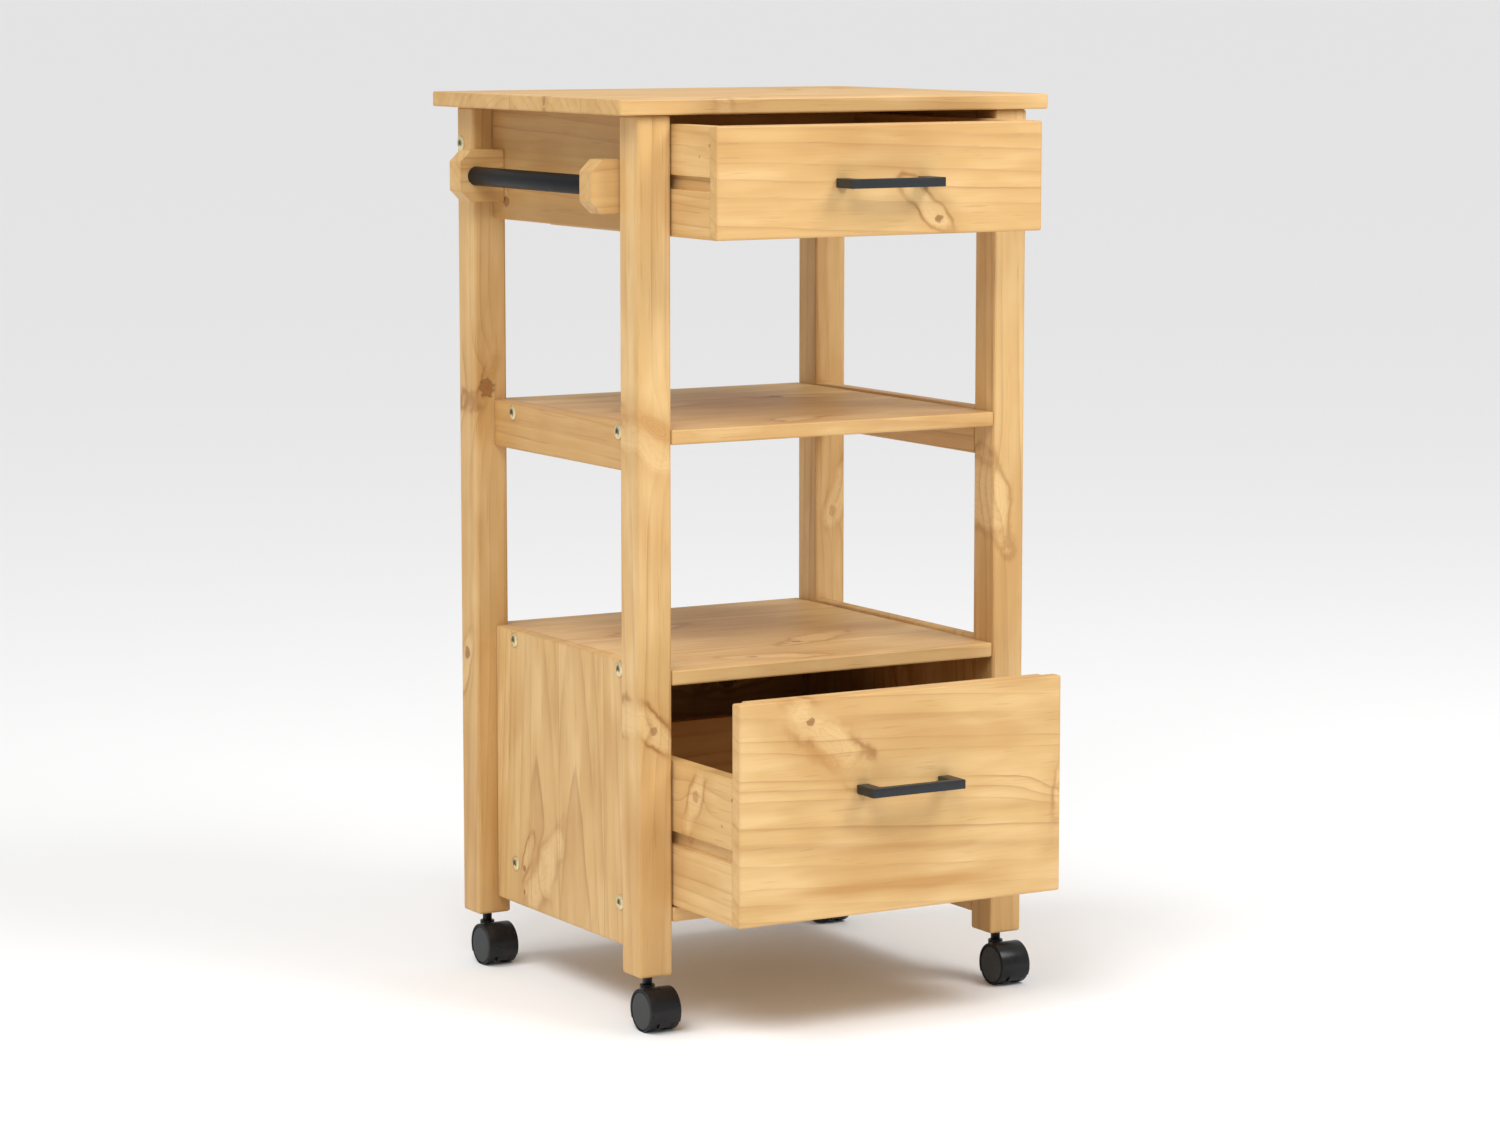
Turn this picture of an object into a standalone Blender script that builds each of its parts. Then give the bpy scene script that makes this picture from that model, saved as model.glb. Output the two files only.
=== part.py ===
"""Rolling pantry cart in solid pine: worktop, open shelf, closed cabinet, two drawers,
a towel rail and four twin-wheel casters. Metres, +Z up, the drawers pull out towards -Y."""

import math

import bmesh
import bpy
from mathutils import Vector

# ---------------------------------------------------------------- driving dimensions
CART_HEIGHT = 0.900
TOP_WIDTH = 0.486
TOP_DEPTH = 0.402
TOP_THICKNESS = 0.0150
TOP_OVERHANG_SIDE = 0.0220
TOP_OVERHANG_FRONT = 0.0075
TOP_OVERHANG_BACK = 0.0135
TOP_CORNER_RADIUS = 0.0050

LEG_SIZE = 0.0365
LEG_FOOT_HEIGHT = 0.0525
BOARD_THICKNESS = 0.0150
SHELF_THICKNESS = 0.0145
SHELF_SET_DOWN = 0.0025

APRON_HEIGHT = 0.1130
SHELF_RAIL_HEIGHT = 0.0475
MIDDLE_SHELF_TOP = 0.5847
LOWER_SHELF_TOP = 0.3516
CABINET_BOTTOM_TOP = 0.1195
CABINET_SIDE_DROP = 0.0350
BACK_PANEL_THICKNESS = 0.0100
BACK_INSET = 0.0020

FIT_GAP = 0.0003
EDGE_RADIUS = 0.0016
LEG_EDGE_RADIUS = 0.0026
SMALL_EDGE = 0.0008

# drawers
DRAWER_SIDE_GAP = 0.0017
DRAWER_BACK_CLEARANCE = 0.0290
FRONT_THICKNESS = 0.0210
FRONT_LIP = 0.0120
DRAWER_SIDE_THICKNESS = 0.0150
DRAWER_BACK_THICKNESS = 0.0120
UPPER_FRONT_HEIGHT = 0.1067
UPPER_FRONT_DROP = 0.0025
LOWER_FRONT_CLEARANCE = 0.0015
LOWER_SIDE_HEIGHT = 0.1425
PLYWOOD_THICKNESS = 0.0040
PLYWOOD_RISE = 0.0100
PLYWOOD_GROOVE_DEPTH = 0.0060
UPPER_OPENED = 0.0843
LOWER_OPENED = 0.1253

# wooden runners and the grooves that slide on them
RUNNER_HEIGHT = 0.0125
RUNNER_PLAY = 0.0005
RUNNER_ENGAGEMENT = 0.0050
GROOVE_DEPTH = 0.0060
UPPER_RUNNER_RISE = 0.0520
LOWER_RUNNER_RISE = 0.0670

# pulls
PULL_LENGTH = 0.1050
PULL_HEIGHT = 0.0090
PULL_PROJECTION = 0.0300
PULL_BAR_THICKNESS = 0.0080
PULL_FOOT = 0.0130
UPPER_PULL_LIFT = -0.0020
LOWER_PULL_LIFT = 0.0155

# towel rail
TOWEL_BLOCK_LENGTH = 0.0500
TOWEL_BLOCK_HEIGHT = 0.0520
TOWEL_BLOCK_THICKNESS = 0.0240
TOWEL_BLOCK_CHAMFER = 0.0115
TOWEL_BLOCK_LEG_GAP = 0.0030
TOWEL_RAIL_DROP = 0.0685
TOWEL_ROD_RADIUS = 0.0095
TOWEL_ROD_REACH = 0.0315
TOWEL_ROD_SEAT = 0.0120

# shelf bolts
BOLT_INSET = 0.0420
BOLT_HEAD_RADIUS = 0.0075
BOLT_HEAD_THICKNESS = 0.0020
BOLT_SHANK_RADIUS = 0.0030
BOLT_SHANK_LENGTH = 0.0420
BOLT_SOCKET_RADIUS = 0.0026
BOLT_SOCKET_DEPTH = 0.0014

# casters
WHEEL_RADIUS = 0.0205
WHEEL_EDGE = 0.0010
WHEEL_DISH = 0.0012
CASTER_WIDTH = 0.0330
CASTER_TRAIL = 0.0170
HOOD_WALL = 0.0011
HOOD_WEB_WALL = 0.0012
HOOD_WHEEL_GAP = 0.0004
HOOD_SKIRT_HEIGHT = 0.0105
HOOD_WEB_CLEARANCE = 0.0050
HOOD_BOSS_WALL = 0.0024
HOOD_BOSS_TOP = 0.0375
HOOD_BOSS_BOTTOM = 0.0140
STEM_RADIUS = 0.00475
STEM_IN_LEG = 0.0350
STEM_LOWER_END = 0.0190
AXLE_RADIUS = 0.0020
AXLE_IN_WHEEL = 0.0070

ROUND_SEGMENTS = 28
WHEEL_SEGMENTS = 24
SMALL_SEGMENTS = 12
EDGE_SEGMENTS = 2

# ---------------------------------------------------------------- worked-out places
LEG_OUTER_X = TOP_WIDTH / 2 - TOP_OVERHANG_SIDE
LEG_INNER_X = LEG_OUTER_X - LEG_SIZE
SIDE_OUTER_X = LEG_INNER_X + BOARD_THICKNESS
FRONT_Y = -TOP_DEPTH / 2 + TOP_OVERHANG_FRONT
BACK_Y = TOP_DEPTH / 2 - TOP_OVERHANG_BACK
BAY_FRONT_Y = FRONT_Y + LEG_SIZE
BAY_BACK_Y = BACK_Y - LEG_SIZE
TOP_UNDERSIDE = CART_HEIGHT - TOP_THICKNESS
FRAME_TOP = TOP_UNDERSIDE - FIT_GAP
APRON_BOTTOM = TOP_UNDERSIDE - APRON_HEIGHT
RAIL_TOP = MIDDLE_SHELF_TOP + SHELF_SET_DOWN
CABINET_SIDE_TOP = LOWER_SHELF_TOP + SHELF_SET_DOWN
CABINET_FLOOR_UNDERSIDE = CABINET_BOTTOM_TOP - SHELF_THICKNESS
CABINET_SIDE_BOTTOM = CABINET_FLOOR_UNDERSIDE - CABINET_SIDE_DROP
LOWER_SHELF_UNDERSIDE = LOWER_SHELF_TOP - SHELF_THICKNESS
BACK_FACE_Y = BACK_Y - BACK_INSET
DRAWER_HALF_WIDTH = LEG_INNER_X - DRAWER_SIDE_GAP
DRAWER_LENGTH = BACK_FACE_Y - BOARD_THICKNESS - DRAWER_BACK_CLEARANCE - FRONT_Y
UPPER_DRAWER_BOTTOM = APRON_BOTTOM - UPPER_FRONT_DROP
LOWER_DRAWER_BOTTOM = CABINET_BOTTOM_TOP + LOWER_FRONT_CLEARANCE
LOWER_FRONT_HEIGHT = LOWER_SHELF_UNDERSIDE - LOWER_FRONT_CLEARANCE - LOWER_DRAWER_BOTTOM
GROOVE_HEIGHT = RUNNER_HEIGHT + 2 * RUNNER_PLAY
LEG_CENTRE_X = LEG_OUTER_X - LEG_SIZE / 2
LEG_CENTRE_Y = {"front": FRONT_Y + LEG_SIZE / 2, "back": BACK_Y - LEG_SIZE / 2}
TOWEL_BLOCK_OUTER_X = SIDE_OUTER_X + TOWEL_BLOCK_LENGTH
TOWEL_RAIL_HEIGHT = TOP_UNDERSIDE - TOWEL_RAIL_DROP
STEM_BORE_RADIUS = STEM_RADIUS + FIT_GAP
CASTER_WEB = 2 * (STEM_BORE_RADIUS + HOOD_WEB_WALL)
HOOD_BOSS_RADIUS = STEM_BORE_RADIUS + HOOD_BOSS_WALL
HOOD_POCKET_RADIUS = WHEEL_RADIUS + HOOD_WHEEL_GAP
HOOD_RADIUS = HOOD_POCKET_RADIUS + HOOD_WALL
PULL_FRONT_Y = FRONT_Y - LOWER_OPENED - PULL_PROJECTION

# The model's origin is on the floor, under the middle of everything at rest.
CART_SHIFT = Vector(((TOWEL_BLOCK_OUTER_X - TOP_WIDTH / 2) / 2, -(PULL_FRONT_Y + TOP_DEPTH / 2) / 2, 0))


# ---------------------------------------------------------------- scene and helpers
for old in list(bpy.data.objects):
    bpy.data.objects.remove(old, do_unlink=True)

PARTS = bpy.data.collections.new("rolling_pantry_cart")
CUTTERS = bpy.data.collections.new("cutters")
bpy.context.scene.collection.children.link(PARTS)
bpy.context.scene.collection.children.link(CUTTERS)


def make_material(name, colour, roughness, metallic=0.0):
    material = bpy.data.materials.new(name)
    material.use_nodes = True
    shader = material.node_tree.nodes["Principled BSDF"]
    shader.inputs["Base Color"].default_value = (*colour, 1)
    shader.inputs["Roughness"].default_value = roughness
    shader.inputs["Metallic"].default_value = metallic
    material.diffuse_color = (*colour, 1)
    return material


PINE = make_material("pine", (0.72, 0.46, 0.20), 0.50)
PLYWOOD = make_material("plywood", (0.62, 0.42, 0.22), 0.65)
BLACK_METAL = make_material("black_metal", (0.020, 0.022, 0.025), 0.45, 0.6)
BLACK_PLASTIC = make_material("black_plastic", (0.025, 0.026, 0.027), 0.45)
STEEL = make_material("steel", (0.45, 0.45, 0.46), 0.35, 1.0)
BRASS = make_material("brass_plated", (0.70, 0.55, 0.28), 0.32, 1.0)


def empty(name, location, parent=None):
    """An empty holds a group's place, on its joint's axis where the group moves."""
    holder = bpy.data.objects.new(name, None)
    holder.empty_display_size = 0.03
    holder.location = location
    holder.parent = parent
    PARTS.objects.link(holder)
    return holder


def add_object(name, mesh, location, parent, material=None, collection=PARTS):
    thing = bpy.data.objects.new(name, mesh)
    thing.location = location
    thing.parent = parent
    if material:
        mesh.materials.append(material)
    collection.objects.link(thing)
    return thing


def mesh_from(name, bm):
    mesh = bpy.data.meshes.new(name)
    bm.to_mesh(mesh)
    bm.free()
    return mesh


def box_mesh(name, low, high):
    """(mesh, centre) of the box between two corners."""
    low, high = Vector(low), Vector(high)
    bm = bmesh.new()
    bmesh.ops.create_cube(bm, size=1)
    bmesh.ops.scale(bm, vec=high - low, verts=bm.verts)
    return mesh_from(name, bm), (low + high) / 2


def soften(thing, radius, segments=EDGE_SEGMENTS):
    bevel = thing.modifiers.new("softened edges", "BEVEL")
    bevel.width = radius
    bevel.segments = segments
    bevel.limit_method = "ANGLE"
    bevel.angle_limit = math.radians(40)


def board(name, low, high, parent, material=PINE, radius=EDGE_RADIUS, segments=EDGE_SEGMENTS):
    """A plank between two corners, with its edges softened."""
    mesh, centre = box_mesh(name, low, high)
    plank = add_object(name, mesh, centre, parent, material)
    if radius:
        soften(plank, radius, segments)
    return plank


def as_cutter(thing):
    thing.hide_render = True
    thing.display_type = "WIRE"
    return thing


def box_cutter(name, low, high, parent):
    mesh, centre = box_mesh(name, low, high)
    return as_cutter(add_object(name, mesh, centre, parent, collection=CUTTERS))


def turned_to(axis):
    """The rotation that lays a +Z shape along an axis."""
    return Vector((0, 0, 1)).rotation_difference(Vector(axis)).to_matrix().to_4x4()


def rod_mesh(name, radius, length, axis, segments):
    bm = bmesh.new()
    bmesh.ops.create_cone(
        bm, cap_ends=True, segments=segments, radius1=radius, radius2=radius, depth=length
    )
    bmesh.ops.transform(bm, matrix=turned_to(axis), verts=bm.verts)
    return mesh_from(name, bm)


def rod_cutter(name, radius, length, centre, axis, parent, segments=ROUND_SEGMENTS):
    mesh = rod_mesh(name, radius, length, axis, segments)
    return as_cutter(add_object(name, mesh, centre, parent, collection=CUTTERS))


def boolean(thing, other, operation="DIFFERENCE"):
    step = thing.modifiers.new(other.name, "BOOLEAN")
    step.operation = operation
    step.solver = "EXACT"
    step.object = other


def turned_mesh(name, profile, segments):
    """The mesh of a (radius, height) profile turned about Z. The profile starts and ends on the axis."""
    bm = bmesh.new()
    points = [bm.verts.new((radius, 0, height)) for radius, height in profile]
    for first, second in zip(points, points[1:]):
        bm.edges.new((first, second))
    turning = add_object(name, mesh_from(name, bm), (0, 0, 0), None, collection=CUTTERS)
    screw = turning.modifiers.new("turn", "SCREW")
    screw.steps = segments
    screw.render_steps = segments
    screw.use_merge_vertices = True
    screw.merge_threshold = 0.0001
    return settled_mesh(turning)


def settled_mesh(thing):
    """The mesh of an object with its modifiers applied. The object itself is removed."""
    bpy.context.view_layer.update()
    finished = thing.evaluated_get(bpy.context.evaluated_depsgraph_get())
    mesh = bpy.data.meshes.new_from_object(finished)
    mesh.name = thing.name
    mesh.transform(thing.matrix_world)
    bpy.data.objects.remove(thing, do_unlink=True)
    mesh.shade_smooth()
    mesh.set_sharp_from_angle(angle=math.radians(35))
    return mesh


def sides():
    """(name, sign) of the left and right sides."""
    return (("left", -1), ("right", 1))


def spread(side, near, far):
    """The low and high X of something between two distances from the middle, on one side."""
    return sorted((side * near, side * far))


CART = empty("cart", CART_SHIFT)


# ---------------------------------------------------------------- worktop and legs
def make_worktop():
    bm = bmesh.new()
    bmesh.ops.create_cube(bm, size=1)
    bmesh.ops.scale(bm, vec=(TOP_WIDTH, TOP_DEPTH, TOP_THICKNESS), verts=bm.verts)
    corners = [e for e in bm.edges if abs(e.verts[0].co.z - e.verts[1].co.z) > TOP_THICKNESS / 2]
    bmesh.ops.bevel(
        bm, geom=corners, offset=TOP_CORNER_RADIUS, segments=4, affect="EDGES", profile=0.5
    )
    centre = (0, 0, CART_HEIGHT - TOP_THICKNESS / 2)
    worktop = add_object("top_board", mesh_from("top_board", bm), centre, CART, PINE)
    soften(worktop, EDGE_RADIUS)


def make_leg(row, side_name, side):
    y = LEG_CENTRE_Y[row]
    name = f"leg_{row}_{side_name}"
    x0, x1 = spread(side, LEG_INNER_X, LEG_OUTER_X)
    half = LEG_SIZE / 2
    leg = board(
        name, (x0, y - half, LEG_FOOT_HEIGHT), (x1, y + half, FRAME_TOP), CART, radius=LEG_EDGE_RADIUS
    )
    depth = STEM_IN_LEG + 3 * FIT_GAP
    socket_centre = (side * LEG_CENTRE_X, y, LEG_FOOT_HEIGHT + depth / 2 - SMALL_EDGE)
    boolean(
        leg,
        rod_cutter(
            f"{name}_socket", STEM_BORE_RADIUS, depth + 2 * SMALL_EDGE, socket_centre,
            (0, 0, 1), CART, SMALL_SEGMENTS + 4,
        ),
    )


# ---------------------------------------------------------------- frame boards
def side_board(name, side, bottom, top):
    """A board between a front and a back leg, flush with the legs' inner faces."""
    x0, x1 = spread(side, LEG_INNER_X, SIDE_OUTER_X)
    low = (x0, BAY_FRONT_Y + FIT_GAP, bottom)
    return board(name, low, (x1, BAY_BACK_Y - FIT_GAP, top), CART)


def cross_board(name, front, back, bottom, top, **style):
    """A board between the left and right legs."""
    half = LEG_INNER_X - FIT_GAP
    return board(name, (-half, front, bottom), (half, back, top), CART, **style)


def bolt_places():
    """(name, side, Y) of the bolts that hold the middle shelf between its rails."""
    rows = (("front", BAY_FRONT_Y + BOLT_INSET), ("back", BAY_BACK_Y - BOLT_INSET))
    return [(f"{row}_{side_name}", side, y) for side_name, side in sides() for row, y in rows]


def make_shelf_bolts(shelf, rails):
    """Four bolts: a low round head outside the rail, and a shank through it into the shelf's end."""
    head, shank, socket = BOLT_HEAD_RADIUS, BOLT_SHANK_RADIUS, BOLT_SOCKET_RADIUS
    profile = [
        (0, BOLT_HEAD_THICKNESS - BOLT_SOCKET_DEPTH),
        (socket, BOLT_HEAD_THICKNESS - BOLT_SOCKET_DEPTH),
        (socket, BOLT_HEAD_THICKNESS),
        (head - SMALL_EDGE, BOLT_HEAD_THICKNESS),
        (head, BOLT_HEAD_THICKNESS - SMALL_EDGE),
        (head, 0),
        (shank, 0),
        (shank, -BOLT_SHANK_LENGTH),
        (0, -BOLT_SHANK_LENGTH),
    ]
    mesh = turned_mesh("shelf_bolt", profile, SMALL_SEGMENTS)
    mesh.materials.append(BRASS)
    z = MIDDLE_SHELF_TOP - SHELF_THICKNESS / 2
    hole_length = 2 * (BOLT_SHANK_LENGTH + FIT_GAP)
    for place, side, y in bolt_places():
        seat = (side * (SIDE_OUTER_X + FIT_GAP), y, z)
        bolt = add_object(f"shelf_bolt_{place}", mesh, seat, CART)
        bolt.rotation_euler = (0, side * math.pi / 2, 0)
        hole = rod_cutter(
            f"bolt_hole_{place}", shank + FIT_GAP, hole_length, seat, (1, 0, 0), CART, SMALL_SEGMENTS
        )
        boolean(rails[side], hole)
        boolean(shelf, hole)


def make_frame_boards():
    for side_name, side in sides():
        side_board(f"apron_{side_name}", side, APRON_BOTTOM, FRAME_TOP)
        side_board(f"cabinet_side_{side_name}", side, CABINET_SIDE_BOTTOM, CABINET_SIDE_TOP)
    rails = {
        side: side_board(f"shelf_rail_{side_name}", side, RAIL_TOP - SHELF_RAIL_HEIGHT, RAIL_TOP)
        for side_name, side in sides()
    }
    shelf = cross_board(
        "middle_shelf", FRONT_Y, BACK_Y, MIDDLE_SHELF_TOP - SHELF_THICKNESS, MIDDLE_SHELF_TOP
    )
    make_shelf_bolts(shelf, rails)
    cross_board("lower_shelf", FRONT_Y, BACK_Y, LOWER_SHELF_UNDERSIDE, LOWER_SHELF_TOP)
    rail_front = BACK_FACE_Y - BOARD_THICKNESS
    cross_board("upper_back_rail", rail_front, BACK_FACE_Y, APRON_BOTTOM, FRAME_TOP)
    panel_front = BACK_FACE_Y - BACK_PANEL_THICKNESS
    cross_board(
        "cabinet_back", panel_front, BACK_FACE_Y, CABINET_FLOOR_UNDERSIDE,
        LOWER_SHELF_UNDERSIDE - FIT_GAP, radius=SMALL_EDGE, segments=1,
    )
    cross_board(
        "cabinet_floor", FRONT_Y, panel_front - FIT_GAP, CABINET_FLOOR_UNDERSIDE, CABINET_BOTTOM_TOP
    )


def make_runners(level, height):
    """A pair of wooden battens on the inner side faces, which the drawer's grooves slide on."""
    inner = DRAWER_HALF_WIDTH - RUNNER_ENGAGEMENT
    for side_name, side in sides():
        x0, x1 = spread(side, inner, LEG_INNER_X - FIT_GAP)
        low = (x0, FRONT_Y + FRONT_LIP + 4 * SMALL_EDGE, height - RUNNER_HEIGHT / 2)
        high = (x1, BAY_BACK_Y, height + RUNNER_HEIGHT / 2)
        board(f"{level}_runner_{side_name}", low, high, CART, radius=SMALL_EDGE, segments=1)


# ---------------------------------------------------------------- towel rail
def make_towel_rail():
    """Two wooden blocks on the left apron, chamfered at their outer corners, and the rod between them."""
    outer = -TOWEL_BLOCK_OUTER_X
    inner = -(SIDE_OUTER_X + FIT_GAP)
    rod_x = -(SIDE_OUTER_X + TOWEL_ROD_REACH)
    gap = TOWEL_BLOCK_LEG_GAP
    starts = {"front": BAY_FRONT_Y + gap, "back": BAY_BACK_Y - gap - TOWEL_BLOCK_THICKNESS}
    blocks = {}
    for row, start in starts.items():
        bm = bmesh.new()
        bmesh.ops.create_cube(bm, size=1)
        size = (inner - outer, TOWEL_BLOCK_THICKNESS, TOWEL_BLOCK_HEIGHT)
        bmesh.ops.scale(bm, vec=size, verts=bm.verts)
        outer_corners = [
            e for e in bm.edges
            if all(v.co.x < 0 for v in e.verts) and e.verts[0].co.z == e.verts[1].co.z
        ]
        bmesh.ops.bevel(
            bm, geom=outer_corners, offset=TOWEL_BLOCK_CHAMFER, segments=1, affect="EDGES"
        )
        name = f"towel_block_{row}"
        centre = ((outer + inner) / 2, start + TOWEL_BLOCK_THICKNESS / 2, TOWEL_RAIL_HEIGHT)
        blocks[row] = add_object(name, mesh_from(name, bm), centre, CART, PINE)
        soften(blocks[row], SMALL_EDGE)
    seat_front = starts["front"] + TOWEL_BLOCK_THICKNESS - TOWEL_ROD_SEAT
    seat_back = starts["back"] + TOWEL_ROD_SEAT
    middle = (rod_x, (seat_front + seat_back) / 2, TOWEL_RAIL_HEIGHT)
    length = seat_back - seat_front
    seats = rod_cutter("rod_seats", TOWEL_ROD_RADIUS + FIT_GAP, length, middle, (0, 1, 0), CART)
    for block in blocks.values():
        boolean(block, seats)
    mesh = rod_mesh("towel_rod", TOWEL_ROD_RADIUS, length - 2 * FIT_GAP, (0, 1, 0), ROUND_SEGMENTS)
    mesh.shade_smooth()
    mesh.set_sharp_from_angle(angle=math.radians(35))
    add_object("towel_rod", mesh, middle, CART, BLACK_METAL)


# ---------------------------------------------------------------- drawers
def make_pull(name, height, holder):
    """A flat bar with two feet: an outline in plan, extruded to the bar's height, centred on `height`."""
    half = PULL_LENGTH / 2
    wall = -FIT_GAP
    bar_back = -(PULL_PROJECTION - PULL_BAR_THICKNESS)
    outline = [
        (-half, wall), (-half, -PULL_PROJECTION), (half, -PULL_PROJECTION), (half, wall),
        (half - PULL_FOOT, wall), (half - PULL_FOOT, bar_back),
        (PULL_FOOT - half, bar_back), (PULL_FOOT - half, wall),
    ]
    curve = bpy.data.curves.new(name, "CURVE")
    curve.dimensions = "2D"
    curve.fill_mode = "BOTH"
    curve.extrude = PULL_HEIGHT / 2
    spline = curve.splines.new("POLY")
    spline.points.add(len(outline) - 1)
    spline.use_cyclic_u = True
    for point, (x, y) in zip(spline.points, outline):
        point.co = (x, y, 0, 1)
    curve.materials.append(BLACK_METAL)
    pull = bpy.data.objects.new(name, curve)
    pull.location = (0, 0, height)
    pull.parent = holder
    PARTS.objects.link(pull)
    weld = pull.modifiers.new("weld", "WELD")
    weld.merge_threshold = 0.00001
    soften(pull, SMALL_EDGE, 1)


def make_drawer(level, bottom, front_height, side_height, runner_rise, opened, pull_lift):
    """A drawer box in its own frame: Y is 0 at the front's face, Z is 0 at the box's underside."""
    holder = empty(f"{level}_drawer_slide", (0, FRONT_Y - opened, bottom), CART)
    half = DRAWER_HALF_WIDTH
    side_inner = half - DRAWER_SIDE_THICKNESS
    prefix = f"{level}_drawer"
    ply_low, ply_high = PLYWOOD_RISE, PLYWOOD_RISE + PLYWOOD_THICKNESS
    ply_half = side_inner + PLYWOOD_GROOVE_DEPTH - 2 * FIT_GAP
    groove = box_cutter(
        f"{prefix}_plywood_groove",
        (-ply_half - FIT_GAP, FRONT_THICKNESS - PLYWOOD_GROOVE_DEPTH, ply_low - FIT_GAP),
        (ply_half + FIT_GAP, DRAWER_LENGTH + EDGE_RADIUS, ply_high + FIT_GAP),
        holder,
    )
    front = board(f"{prefix}_front", (-half, 0, 0), (half, FRONT_THICKNESS, front_height), holder)
    for side_name, side in sides():
        x0, x1 = spread(side, side_inner - FIT_GAP, half + EDGE_RADIUS)
        rebate = box_cutter(
            f"{prefix}_rebate_{side_name}",
            (x0, FRONT_LIP, -EDGE_RADIUS),
            (x1, FRONT_THICKNESS + EDGE_RADIUS, front_height + EDGE_RADIUS),
            holder,
        )
        boolean(front, rebate)
        x0, x1 = spread(side, side_inner, half)
        wall = board(
            f"{prefix}_side_{side_name}",
            (x0, FRONT_LIP + FIT_GAP, 0),
            (x1, DRAWER_LENGTH, side_height),
            holder, radius=SMALL_EDGE,
        )
        x0, x1 = spread(side, half - GROOVE_DEPTH, half + EDGE_RADIUS)
        slot = box_cutter(
            f"{prefix}_runner_groove_{side_name}",
            (x0, FRONT_LIP - EDGE_RADIUS, runner_rise - GROOVE_HEIGHT / 2),
            (x1, DRAWER_LENGTH + EDGE_RADIUS, runner_rise + GROOVE_HEIGHT / 2),
            holder,
        )
        boolean(wall, slot)
        boolean(wall, groove)
    boolean(front, groove)
    board(
        f"{prefix}_back",
        (FIT_GAP - side_inner, DRAWER_LENGTH - DRAWER_BACK_THICKNESS, ply_high + FIT_GAP),
        (side_inner - FIT_GAP, DRAWER_LENGTH, side_height),
        holder, radius=SMALL_EDGE,
    )
    board(
        f"{prefix}_bottom",
        (-ply_half, FRONT_THICKNESS - PLYWOOD_GROOVE_DEPTH + FIT_GAP, ply_low),
        (ply_half, DRAWER_LENGTH, ply_high),
        holder, material=PLYWOOD, radius=0,
    )
    make_pull(f"{prefix}_pull", front_height / 2 + pull_lift, holder)


# ---------------------------------------------------------------- casters
def hood_mesh():
    """A twin-wheel caster's hood, with Z 0 on the floor and the swivel axis on Z: a drum that bends
    over both wheels, a web between them for the axle, and a boss behind for the stem."""
    axle_place = (0, -CASTER_TRAIL, WHEEL_RADIUS)
    drum = rod_mesh("hood", HOOD_RADIUS, CASTER_WIDTH, (1, 0, 0), ROUND_SEGMENTS + 4)
    hood = add_object("hood", drum, axle_place, None, collection=CUTTERS)
    boss_height = HOOD_BOSS_TOP - HOOD_BOSS_BOTTOM
    boss_centre = (0, 0, HOOD_BOSS_BOTTOM + boss_height / 2)
    helpers = [rod_cutter("boss", HOOD_BOSS_RADIUS, boss_height, boss_centre, (0, 0, 1), None, 20)]
    boolean(hood, helpers[0], "UNION")
    pocket_depth = (CASTER_WIDTH - CASTER_WEB) / 2
    for side_name, side in sides():
        x = side * (CASTER_WEB / 2 + pocket_depth)
        place = (x, -CASTER_TRAIL, WHEEL_RADIUS)
        pocket = rod_cutter(
            f"pocket_{side_name}", HOOD_POCKET_RADIUS, 2 * pocket_depth, place, (1, 0, 0), None,
            ROUND_SEGMENTS + 4,
        )
        x0, x1 = spread(side, CASTER_WEB / 2, CASTER_WIDTH)
        reach = HOOD_RADIUS + CASTER_TRAIL
        skirt = box_cutter(
            f"skirt_{side_name}", (x0, -2 * reach, -reach), (x1, reach, HOOD_SKIRT_HEIGHT), None
        )
        helpers += [pocket, skirt]
        boolean(hood, pocket)
        boolean(hood, skirt)
    under = (-CASTER_WIDTH, -2 * HOOD_RADIUS, -HOOD_RADIUS)
    helpers.append(box_cutter("web_foot", under, (CASTER_WIDTH, HOOD_RADIUS, HOOD_WEB_CLEARANCE), None))
    bore_radius = AXLE_RADIUS + FIT_GAP
    helpers.append(
        rod_cutter("axle_bore", bore_radius, CASTER_WIDTH, axle_place, (1, 0, 0), None, SMALL_SEGMENTS)
    )
    bore_low = STEM_LOWER_END - 2 * FIT_GAP
    stem_centre = (0, 0, bore_low + HOOD_BOSS_TOP / 2)
    helpers.append(
        rod_cutter("stem_bore", STEM_BORE_RADIUS, HOOD_BOSS_TOP, stem_centre, (0, 0, 1), None, 16)
    )
    for helper in helpers[-3:]:
        boolean(hood, helper)
    mesh = settled_mesh(hood)
    for helper in helpers:
        bpy.data.objects.remove(helper, do_unlink=True)
    return mesh


def wheel_mesh():
    """One wheel turned about Z, its outer face up: a dished face, a round-edged tread, a blind bore."""
    width = (CASTER_WIDTH - CASTER_WEB) / 2 - FIT_GAP
    bore = AXLE_RADIUS + FIT_GAP
    profile = [
        (0, width - WHEEL_DISH),
        (WHEEL_RADIUS - 4 * WHEEL_EDGE, width - WHEEL_DISH),
        (WHEEL_RADIUS - 3 * WHEEL_EDGE, width),
        (WHEEL_RADIUS - WHEEL_EDGE, width),
        (WHEEL_RADIUS, width - WHEEL_EDGE),
        (WHEEL_RADIUS, WHEEL_EDGE),
        (WHEEL_RADIUS - WHEEL_EDGE, 0),
        (bore, 0),
        (bore, AXLE_IN_WHEEL + FIT_GAP),
        (0, AXLE_IN_WHEEL + FIT_GAP),
    ]
    return turned_mesh("wheel", profile, WHEEL_SEGMENTS)


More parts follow.
